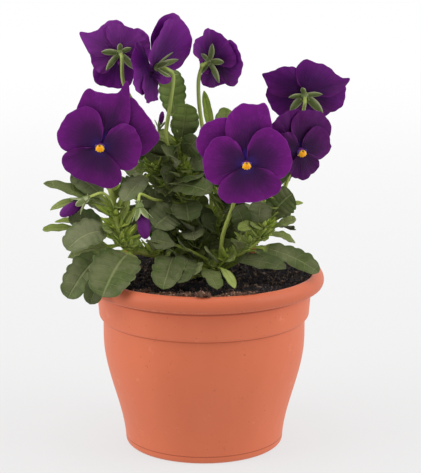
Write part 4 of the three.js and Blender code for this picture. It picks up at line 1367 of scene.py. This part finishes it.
for shoot in SHOOTS:
    combs = Shells()
    for number, item in enumerate(LEAVES[shoot] + SMALL[shoot][::2]):
        add_stipules(combs, item, number)
    for name, *crown in CROWNS:
        if name in SHOOTS[shoot]:
            add_crown(combs, name, *crown)
    settle(combs.piece(f"{shoot}_stipules", leaf_paint), "foliage")

# %% [markdown]
# ## Stems and stalks
# A pansy's stem is juicy, bright green and slightly angular. Each one is a path with a radius
# that shrinks towards its end and swells where a leaf grows. Geometry Nodes sweep a ten-pointed
# section along all the paths of a shoot at once.


# %% Stem finish
def stem_finish():
    """Fresh yellow-green, greyer in the flower stalks, with faint length-wise streaks."""
    paint = Finish("stem_green", Roughness=0.42, Specular_IOR_Level=0.45, Subsurface_Weight=0.15,
                   Subsurface_Radius=(0.5, 1.0, 0.2), Subsurface_Scale=0.0015)
    streaks = paint.noise(1.4, 3, stretch=(1, 1, 0.12))
    base = paint.tints(
        paint.blend(streaks, colour(158, 174, 70), colour(196, 204, 112)),
        high=(paint.step(paint.height(), 0.15, 0.2), 0.5, (126, 148, 78)),
    )
    return paint.finish(base, normal=paint.bump(streaks, 0.12))


stem_paint = stem_finish()
print("finish:", stem_paint.name)


# %% Stem tree
def stem_tree():
    """Sweeps an angular section along the paths of a curve, with the radius of each point."""
    tree = Tree("stems", ridges=5, groove=0.86)
    section = tree.node("GeometryNodeCurveStar", Points=tree.inputs["ridges"], Outer_Radius=1.0,
                        Inner_Radius=tree.inputs["groove"])
    upright = tree.node("GeometryNodeSetCurveNormal", Curve=tree.inputs["Geometry"])
    radius = tree.node("GeometryNodeInputRadius").outputs[0]
    tube = tree.node("GeometryNodeCurveToMesh", Curve=upright.outputs[0], Scale=radius, Fill_Caps=True,
                     Profile_Curve=section.outputs[0])
    soft = tree.node("GeometryNodeSetShadeSmooth", Geometry=tube.outputs[0])
    tree.end(soft.outputs[0], stem_paint)
    return tree


stems = stem_tree()
print("sizes of the stem tree:", ", ".join(stems.ids))

# %% Paths of the stems
STEM_STEP = 1.5
NODE_SWELL = 0.22
NODE_LENGTH = 1.6
FEWEST_POINTS = 6
NECK_BACK = 10
NECK_DROP = 1.5
STALK_END = 5
FLOWER_STALK = (1.2, 1.0)
BUD_STALK = (0.9, 0.75)


def stem_path(route, start, end, knots=()):
    """Points of a path and the radius at each, swollen at its knots."""
    length = np.sum(np.linalg.norm(np.diff(route, axis=0), axis=1))
    shares = np.linspace(0, 1, max(FEWEST_POINTS, int(length / STEM_STEP)))
    points = path_through(route, shares)
    radius = start + (end - start) * shares
    for knot in knots:
        away = np.linalg.norm(points - knot, axis=1)
        radius = radius * (1 + NODE_SWELL * np.exp(-((away / NODE_LENGTH) ** 2)))
    return points, radius


def flower_route(flower):
    """A flower stalk leaves its stem, bends over at its neck and ends behind the throat."""
    centre, out = flower["centre"], flower["axes"][0]
    neck = centre - NECK_BACK * out - (0, 0, NECK_DROP)
    return np.array([on_stem(*flower["from"]), *flower["stalk"], neck, centre - STALK_END * out])


def shoot_paths(shoot):
    """All the paths of one shoot: its stems, its flower stalks and its bud stalks."""
    paths = []
    for name in SHOOTS[shoot]:
        row = STEMS[name]
        knots = [on_stem(name, item["at"]) for item in LEAVES[shoot] if item["on"] == name]
        paths.append(stem_path(np.array(row["points"], float), row["start"], row["end"], knots))
    for flower in on_shoot(shoot, FLOWERS):
        paths.append(stem_path(flower_route(flower), *FLOWER_STALK))
    for bud in on_shoot(shoot, BUDS):
        route = np.array([on_stem(*bud["from"]), *bud["stalk"], bud["base"]], float)
        paths.append(stem_path(route, *BUD_STALK))
    return paths


def curve_of(name, paths):
    """A curve object with one line through each path, in metres."""
    data = bpy.data.curves.new(name, "CURVE")
    data.dimensions = "3D"
    for points, radius in paths:
        line = data.splines.new("POLY")
        line.points.add(len(points) - 1)
        line.points.foreach_set("co", np.column_stack([points * MM, np.ones(len(points))]).ravel())
        line.points.foreach_set("radius", radius * MM)
    return add_object(name, data)


for shoot in SHOOTS:
    curve = curve_of(f"{shoot}_paths", shoot_paths(shoot))
    settle(stems.grow(f"{shoot}_stems", curve), "foliage", f"shoot_{shoot}")
    bpy.data.objects.remove(curve)

# %% [markdown]
# ## Sepals
# Behind each flower five narrow green sepals stand out from the end of the stalk like a star,
# with pale edges and a short ear that points back. The same sheets, smaller, wrap the buds.


# %% Sepal finish
def sepal_finish():
    """Soft green with a pale edge and fine length-wise veins."""
    paint = Finish("sepal_green", Roughness=0.55, Specular_IOR_Level=0.35, Subsurface_Weight=0.15,
                   Subsurface_Radius=(0.5, 1.0, 0.2), Subsurface_Scale=0.001)
    across, _ = paint.across_and_along()
    base = paint.tints(
        paint.blend(paint.noise(1.5, 3), colour(88, 104, 52), colour(124, 138, 78)),
        edge=(paint.step(paint.apart(across, 0.5), 0.25, 0.5), 0.75, (188, 192, 150)),
    )
    lines = paint.maths("ABSOLUTE", paint.maths("SINE", paint.times(across, 28)))
    return paint.finish(base, normal=paint.bump(lines, 0.08))


sepal_paint = sepal_finish()
print("finish:", sepal_paint.name)

# %% Sepal shell
SEPAL_ROWS = 14
SEPAL_COLUMNS = 7
SEPAL_EAR = 0.22
SEPAL_THICKNESS = 0.4
SEPAL_START = 0.8
SEPAL_BEND = 0.5
SEPAL_CUP = 0.18
EAR_FLARE = 0.6
SEPAL_WIDTHS = ([-SEPAL_EAR, -0.1, 0, 0.25, 0.5, 0.75, 0.92, 1],
                [0.35, 0.55, 0.6, 0.9, 1.0, 0.78, 0.35, 0.06])


def add_sepal(shells, base, outwards, along, length, wide, spread):
    """Adds one sepal: a narrow pointed sheet with a short ear behind its base."""
    t = np.linspace(-SEPAL_EAR, 1, SEPAL_ROWS)[:, None, None]
    v = np.linspace(-1, 1, SEPAL_COLUMNS)[None, :, None]
    reach = np.maximum(t, 0)
    ear = np.minimum(t, 0)
    middle = base + outwards * (SEPAL_START + length * (reach * math.sin(spread) - EAR_FLARE * ear))
    middle = middle + along * (length * (reach * math.cos(spread) + ear) - SEPAL_BEND * t**2)
    share = np.interp(t, *SEPAL_WIDTHS)
    side = unit(np.cross(along, outwards))
    direction = unit(outwards * math.sin(spread) + along * math.cos(spread))
    normal = np.cross(side, direction)
    cup = SEPAL_CUP * wide * share * v**2
    grid = middle + side * (0.5 * wide * share * v) - normal * cup
    uv = paired((v[..., 0] + 1) / 2, t[..., 0])
    shells.add_sheet(grid, normal, SEPAL_THICKNESS * (1 - 0.6 * v[..., 0] ** 2), uv)


# %% Calyxes
SEPAL_BACK = 4.1
SEPAL_SWEEP = 0.56
SEPALS = [(turn, 11, 3.6) for turn in (0, 68, 130, 230, 292)]
BUD_SEPALS = (0, 72, 144, 216, 288)
BUD_SPREAD = 0.17 * math.pi
CUP_SHARE = 0.16
CUP_WIDTH = 0.2
BUD_SEPAL_LENGTH = 0.5
BUD_SEPAL_WIDE = 0.32
BUD_SEPAL_START = 0.1
KNOB_BACK = 2.2
KNOB = [(0, 0.4), (0.3, 1.4), (1.2, 2.1), (2.2, 2.0), (3.2, 1.5), (4.2, 1.1), (4.6, 0.5)]


def turned(axes, degrees):
    """The direction across a body that is turned from its top by the given angle."""
    _, right, top = axes
    angle = math.radians(degrees)
    return top * math.cos(angle) + right * math.sin(angle)


def add_calyx(shells, flower):
    """Adds the five sepals of a flower and the knob that they stand on."""
    centre, axes = flower["centre"], flower["axes"]
    out = axes[0]
    spread = math.pi * flower.get("sweep", SEPAL_SWEEP)
    for turn, length, wide in flower.get("sepals", SEPALS):
        add_sepal(shells, centre - SEPAL_BACK * out, turned(axes, turn), out, length, wide, spread)
    shells.add_turned(centre - KNOB_BACK * out, -out, KNOB)


def add_bud_cup(shells, bud):
    """Adds the cup and the sepals of a bud."""
    base, length, axes = bud["base"], bud["length"], bud["axes"]
    out = axes[0]
    start = base + BUD_SEPAL_START * length * out
    sizes = (BUD_SEPAL_LENGTH * length, BUD_SEPAL_WIDE * bud["wide"], BUD_SPREAD)
    for turn in BUD_SEPALS:
        add_sepal(shells, start, turned(axes, turn), out, *sizes)
    rim = CUP_WIDTH * bud["wide"]
    cup = CUP_SHARE * length
    profile = [(-0.4, 0.4), (0, 0.9), (0.5 * cup, 0.8 * rim), (cup, rim), (cup + 0.3 * rim, 0.7 * rim),
               (cup + 0.4 * rim, 0.2 * rim)]
    shells.add_turned(base, out, profile)


for shoot in ("left", "middle", "right"):
    sepals = Shells()
    for flower in on_shoot(shoot, FLOWERS):
        add_calyx(sepals, flower)
    for bud in on_shoot(shoot, BUDS):
        add_bud_cup(sepals, bud)
    settle(sepals.piece(f"{shoot}_sepals", sepal_paint), "foliage", f"shoot_{shoot}")

# %% [markdown]
# ## Petal finish
# The petals look like velvet: deep plum with a brighter magenta edge, indigo round the eye and a
# blue-violet patch above it, with fine darker veins that fan out from the throat, and a thin
# painted highlight along the edge. The shells carry the share of the way from the throat to the
# edge, which petal a point is on, and how much painted shade darkens it, part of it the petal's
# own deeper tone, or how much painted light makes it lighter.


# %% Petal finish
def petal_finish():
    """Velvet violet, painted by the distance from the throat."""
    paint = Finish("petal_velvet", Roughness=0.6, Specular_IOR_Level=0.16, Subsurface_Weight=0.1,
                   Subsurface_Radius=(0.7, 0.2, 1.0), Subsurface_Scale=0.001,
                   Sheen_Weight=0.08, Sheen_Roughness=0.4, Sheen_Tint=colour(170, 60, 190))
    across, along = paint.across_and_along()
    dusk = paint.value("dusk")
    fine = paint.noise(0.6, 3, rough=0.7)
    edge = paint.step(paint.maths("ADD", along, paint.times(paint.noise(6, 3), 0.3)), 0.55, 1.15)
    wander = paint.times(paint.maths("SUBTRACT", paint.noise(4, 2), 0.5), 0.06)
    fan = paint.times(paint.maths("ADD", across, wander), 90)
    fan = paint.maths("ABSOLUTE", paint.maths("SINE", fan))
    veins = paint.times(paint.fade(fan, 0.0, 0.4), paint.fade(along, 0.45, 1.05))
    streaks = paint.step(paint.noise(2.4, 4, rough=0.65), 0.5, 0.75)
    front = paint.tints(
        paint.blend(edge, colour(56, 9, 68), colour(110, 13, 117)),
        heart=(paint.fade(along, 0.12, 0.5), 0.85, (34, 14, 66)),
        patch=(paint.times(paint.fade(along, 0.1, 0.3), paint.value("patch")), 0.95, (78, 56, 188)),
        veins=(veins, 0.5, (34, 4, 48)),
        streaks=(paint.times(streaks, edge), 0.3, (150, 40, 160)),
        # Painted highlight: a thin lighter line along each petal's edge.
        rim=(paint.step(along, 0.975, 1.0), 0.3, (160, 74, 184)),
    )
    back = paint.tints(
        paint.blend(edge, colour(72, 20, 90), colour(112, 30, 124)),
        veins=(veins, 0.4, (44, 12, 60)),
    )
    base = paint.tints(
        paint.blend(paint.value("upper"), back, front),
        # Painted shade darkens whole flowers, throats and buds, partly their own deeper tone; the glow is
        # painted light that makes a flower lighter.
        dusk=(dusk, 0.6, (34, 10, 40)),
        glow=(paint.maths("MAXIMUM", paint.times(dusk, -1), 0), 1, (176, 84, 190)),
        velvet=(fine, 0.2, (96, 30, 104)),
    )
    pleats = paint.times(fan, paint.maths("SUBTRACT", 1, along))
    relief = paint.bump(pleats, 0.2, paint.bump(fine, 0.06))
    return paint.finish(base, normal=paint.bump(paint.noise(5, 2), 0.5, relief))


petal_paint = petal_finish()
print("finish:", petal_paint.name)

# %% [markdown]
# ## Petals
# A petal spreads from the throat like a fan. One ruffle runs through all five, so that they lie
# on each other in their layers. A finer ripple is added near the edge, the same in every layer
# too, and the edge itself gets thin and uneven.

# %% Petal shell
PETAL_LAYERS = (-2.15, -1.15, -0.15, -0.15, 0.85)
PETAL_SPREAD = 0.86
CORNER_WIDTH = 0.11
RUFFLE = 0.7
RIPPLE = 0.3
PETAL_ROWS = 20
PETAL_COLUMNS = 61
PETAL_THICKNESS = 0.24
PLEAT = 0.12
THROAT_SHARE = 0.07
FAN_REACH = (0.54, 0.46)
FAN_WIDTH = (1, 0.12)
NOTCH = 0.06
UNEVEN = (0.01, 0.006)
EDGE_THINNING = 0.55
LOWEST = 4
# Painted shade for each flower, most on the one that faces away from the light. Below 0 it is painted light,
# which makes a flower lighter. The lowest petal is darker still, partly its own deeper tone and partly
# painted shade.
TONE_AND_SHADE = {"flower_right": 0.85, "flower_top_right": 0.3, "flower_front_left": 0.3, "flower_top_left": -0.3}
LOWEST_TONE_AND_SHADE = 0.3


def petal_grid(flower, index):
    """The middle surface of a petal, as rows from the throat to the edge."""
    turn, reach, wide, slope, *corners = flower["petals"][index]
    axes = flower["axes"]
    t = np.linspace(THROAT_SHARE, 1, PETAL_ROWS)[:, None]
    b = np.linspace(-1, 1, PETAL_COLUMNS)[None, :]
    swing = b * math.pi * PETAL_SPREAD
    notch = NOTCH * np.maximum(0, 1 - 4 * np.abs(b)) if index == LOWEST else 0 * b
    jut = sum((size * np.exp(-(((b - place) / CORNER_WIDTH) ** 2)) for place, size in corners), 0 * b)
    uneven = UNEVEN[0] * np.sin(19 * b + turn) + UNEVEN[1] * np.sin(43 * b + reach)
    length = t * reach * (vary(FAN_REACH, np.cos(swing)) - notch + jut + uneven * t**3)
    width = 0.5 * t * wide * np.sin(swing) * vary(FAN_WIDTH, np.cos(swing))
    angle = math.radians(turn) + np.arctan2(width, length)
    height = PETAL_LAYERS[index] + slope * length
    height = height + RUFFLE * t**2 * np.sin(7 * angle) + RIPPLE * t**5 * np.sin(23 * angle)
    height = height + PLEAT * t * (1 - 0.6 * t) * np.sin(37 * angle + turn)
    grid = flower["centre"] + length[..., None] * turned(axes, turn)
    grid = grid + width[..., None] * turned(axes, turn + 90)
    return grid + height[..., None] * axes[0], t, b


def grid_normals(grid, towards):
    """The direction of the surface at each point of a grid, on the side of the given one."""
    normals = unit(np.cross(np.gradient(grid, axis=0), np.gradient(grid, axis=1)))
    return normals * np.sign(np.sum(normals * towards, axis=(0, 1, 2)))


def add_petal(shells, flower, index):
    """Adds one petal with its colours' values."""
    grid, t, b = petal_grid(flower, index)
    normals = grid_normals(grid, flower["axes"][0])
    thickness = PETAL_THICKNESS * (1 - EDGE_THINNING * t**3)
    dusk = TONE_AND_SHADE.get(flower["name"], 0.0) + (LOWEST_TONE_AND_SHADE if index == LOWEST else 0.0)
    patch = 1.0 if index < 2 else 0.25
    shells.add_sheet(grid, normals, thickness, paired((b + 1) / 2, t), patch=patch, dusk=dusk)


print("layers of the petals:", PETAL_LAYERS)


# %% Throat and spur
THROAT = [(-2.4, 0.8), (-2.0, 1.8), (-1, 2.1), (0, 2.2), (0.8, 1.9), (1.3, 0.6)]
SPUR_DROP = 4
SPUR_LEAN = 0.23
SPUR = [(0, 1.0), (1.5, 1.25), (3.5, 1.2), (5, 1.3), (6, 1.15), (6.8, 0.5)]


def flower_petals(flower):
    """All five petals of a flower, its throat and the spur behind it."""
    shells = Shells()
    for index in range(len(flower["petals"])):
        add_petal(shells, flower, index)
    centre, (out, _, top) = flower["centre"], flower["axes"]
    # The throat and the spur are darkened a little: painted shade in the flower's hollow.
    dark = {"upper": 0.0, "patch": 0.0, "dusk": 0.2}
    shells.add_turned(centre, out, THROAT, **dark)
    shells.add_turned(centre - SPUR_DROP * top, -out - SPUR_LEAN * top, SPUR, **dark)
    return shells.piece(f"{flower['name']}_petals", petal_paint)


for flower in FLOWERS:
    settle(flower_petals(flower), "petals", flower["name"])

# %% [markdown]
# ## Eyes
# The eye of a pansy is a yellow pad at the foot of the lowest petal, with a scalloped edge. Over
# it sits the small brown head of the stigma, and a tuft of pale violet hairs stands at each
# side.


# %% Eye finishes
def eye_finish():
    """Golden yellow, more orange at its middle."""
    paint = Finish("eye_gold", Roughness=0.6, Specular_IOR_Level=0.3, Subsurface_Weight=0.2,
                   Subsurface_Radius=(1.0, 0.6, 0.1), Subsurface_Scale=0.001)
    _, along = paint.across_and_along()
    base = paint.tints(
        paint.blend(paint.step(along, 0.5, 0.95), colour(255, 186, 8), colour(246, 150, 4)),
        light=(paint.noise(0.7, 3), 0.3, (255, 206, 30)),
    )
    return paint.finish(base, normal=paint.bump(paint.noise(0.4, 2), 0.08))


def plain_finish(name, dark, light, size, **shader):
    """A finish of two close colours in a fine cloudy mix."""
    paint = Finish(name, **shader)
    return paint.finish(paint.blend(paint.noise(size, 3), colour(*dark), colour(*light)))


eye_paint = eye_finish()
stigma_paint = plain_finish("stigma_brown", (112, 80, 22), (160, 124, 30), 0.5, Roughness=0.6)
tuft_paint = plain_finish("tuft_hair", (80, 60, 170), (128, 104, 200), 0.6, Roughness=0.6)
print("finishes:", eye_paint.name, stigma_paint.name, tuft_paint.name)

# %% Eye shells
EYE_LIFT = 3.0
EYE_WIDE = 2.6
EYE_HIGH = 2.2
EYE_LOBES = 11
EYE_SIDES = 56
UV_TURN = 6.3
SCALLOP = 0.24
STIGMA_ABOVE = 1.3
TUFT_LIFT = 2.1
EYE_PROFILE = [(0.0, 0.3), (0.05, 0.8), (0.35, 1.0), (0.8, 0.99), (1.2, 0.9), (1.6, 0.7), (1.85, 0.4),
               (1.9, 0.08)]
TUFT_HAIRS = 12
TUFT_ASIDE = (1.9, 0.7)
TUFT_ABOVE = (1.7, -1.6)
TUFT_LEAN = (0.5, 0.3)
TUFT_PROFILE = [(0, 0.14), (0.66, 0.11), (1.1, 0.04)]
TUFT_SIDES = 4
STIGMA_SIDES = 14
STIGMA = [(-0.6, 0.35), (-0.2, 0.6), (0.3, 0.68), (0.7, 0.5), (0.9, 0.2)]


def eye_pad(flower):
    """A domed pad with a scalloped lower edge."""
    out, right, top = flower["axes"]
    centre = flower["centre"] + (EYE_LIFT - 1) * out
    angle = angles_round(EYE_SIDES)
    below = smooth((0.2 - np.sin(angle)) / 0.8)
    edge = 0.92 - 0.1 * (1 - below) + SCALLOP * below * (np.abs(np.sin(EYE_LOBES * angle / 2)) - 0.5)
    circle = EYE_WIDE * np.cos(angle)[:, None] * right + EYE_HIGH * np.sin(angle)[:, None] * top
    rings = [centre + height * out + (radius * edge)[:, None] * circle for height, radius in EYE_PROFILE]
    pad = Shells()
    pad.add_rings(np.array(rings), paired(angle / UV_TURN, np.linspace(0, 1, len(rings))[:, None]))
    return pad.piece(f"{flower['name']}_pad", eye_paint)


def stigma(flower):
    """The round brown head over the pad."""
    out, _, top = flower["axes"]
    place = flower["centre"] + EYE_LIFT * out + STIGMA_ABOVE * top
    head = Shells()
    head.add_turned(place, out, STIGMA, STIGMA_SIDES)
    return head.piece(f"{flower['name']}_stigma", stigma_paint)


def tufts(flower):
    """A tuft of short pale hairs at each side of the pad."""
    out, right, top = flower["axes"]
    hairs = Shells()
    for side in (-1, 1):
        for k in range(TUFT_HAIRS):
            aside = side * vary(TUFT_ASIDE, math.sin(GOLDEN_ANGLE * k))
            above = vary(TUFT_ABOVE, k / (TUFT_HAIRS - 1))
            root = flower["centre"] + aside * right + above * top + TUFT_LIFT * out
            lean = side * vary(TUFT_LEAN, math.cos(GOLDEN_ANGLE * k))
            hairs.add_turned(root, out - lean * right, TUFT_PROFILE, TUFT_SIDES)
    return hairs.piece(f"{flower['name']}_tufts", tuft_paint)


for flower in FLOWERS:
    settle(eye_pad(flower), "flower_eye", f"{flower['name']}_eye")
    settle(stigma(flower), "flower_eye")
    settle(tufts(flower), "flower_eye")

# %% [markdown]
# ## Buds
# A closed bud is a pointed spindle of petals that are rolled round each other. The rolled edges
# show as ridges that wind up to the tip, so the spindle's radius rises and drops once for each
# petal round it, and the pattern turns as it climbs.

# %% Bud shells
BUD_SIDES = 48
BUD_ROLLS = 3
BUD_TWIST = 2.2
BUD_ROWS = 40
SEAT_GAP = 0.3
ROLL = (0.86, 0.2)
BUD_PROFILE = [(0.3, 0.05), (0.34, 0.19), (0.45, 0.25), (0.56, 0.28), (0.68, 0.29), (0.8, 0.27),
               (0.9, 0.21), (0.96, 0.15), (1.0, 0.06)]


def bud_petals(bud):
    """The rolled petals of a bud as one spindle."""
    length, (out, right, top) = bud["length"], bud["axes"]
    seat = (CUP_SHARE * length + 0.4 * CUP_WIDTH * bud["wide"] + SEAT_GAP) / length
    places, radii = zip(*BUD_PROFILE)
    places = (seat, *places[1:])
    z = np.interp(np.linspace(0, 1, BUD_ROWS), np.linspace(0, 1, len(places)), places)[:, None]
    radius = np.interp(z, places, radii)
    angle = angles_round(BUD_SIDES)
    roll = (BUD_ROLLS * (angle + BUD_TWIST * z) / (2 * math.pi)) % 1
    radius = bud["wide"] * radius * vary(ROLL, roll)
    side = np.cos(angle)[:, None] * right + np.sin(angle)[:, None] * top
    rings = bud["base"] + (length * z)[..., None] * out + radius[..., None] * side
    spindle = Shells()
    # The spindle is darkened, partly for the buds' deeper tone and partly as painted shade.
    spindle.add_rings(rings, paired(angle / UV_TURN, 0.45 + 0.5 * z), upper=0.3, patch=0.0, dusk=0.45)
    return spindle.piece(f"{bud['name']}_petals", petal_paint)


for bud in BUDS:
    settle(bud_petals(bud), "petals", bud["name"])

# %% [markdown]
# ## Hairs
# Stems and leaves carry a fine down. Geometry Nodes scatter thin three-sided spikes over them,
# each along the surface's normal with a random lean. A spike has only four faces, because there
# are thousands of them.

# %% Hair tree
down_paint = plain_finish("plant_down", (138, 148, 100), (176, 184, 140), 0.5, Roughness=0.55)


def hair_tree():
    """Scatters thin spikes over a mesh, leaning a little at random."""
    tree = Tree("down", density=1.0, length=0.0006, thickness=0.00003, seed=1)
    points = scatter_over(tree)
    spike = tree.node("GeometryNodeMeshCone", Vertices=3, Radius_Top=0.0, Depth=tree.inputs["length"],
                      Radius_Bottom=tree.inputs["thickness"])
    placed = tree.node("GeometryNodeInstanceOnPoints", Points=points["Points"], Rotation=points["Rotation"],
                       Instance=spike.outputs["Mesh"], Scale=tree.random(6, 0.5, 1.2))
    lean = tree.random(5, (-0.5, -0.5, -3.1), (0.5, 0.5, 3.1))
    tilted = tree.node("GeometryNodeRotateInstances", Instances=placed.outputs[0], Rotation=lean)
    tree.end(tilted.outputs[0], down_paint)
    return tree


down = hair_tree()
print("sizes of the hair tree:", ", ".join(down.ids))

# %% Grow the hairs
LEAF_DOWN = {"density": 110000.0, "length": 0.0006, "thickness": 0.00003}
STEM_DOWN = {"density": 500000.0, "length": 0.0008, "thickness": 0.00003}
for seed, shoot in enumerate(SHOOTS):
    for kind, sizes in (("leaves", LEAF_DOWN), ("stems", STEM_DOWN)):
        source = bpy.data.objects[f"{shoot}_{kind}"]
        settle(down.grow(f"{shoot}_{kind}_down", source, seed=seed, **sizes), "foliage")
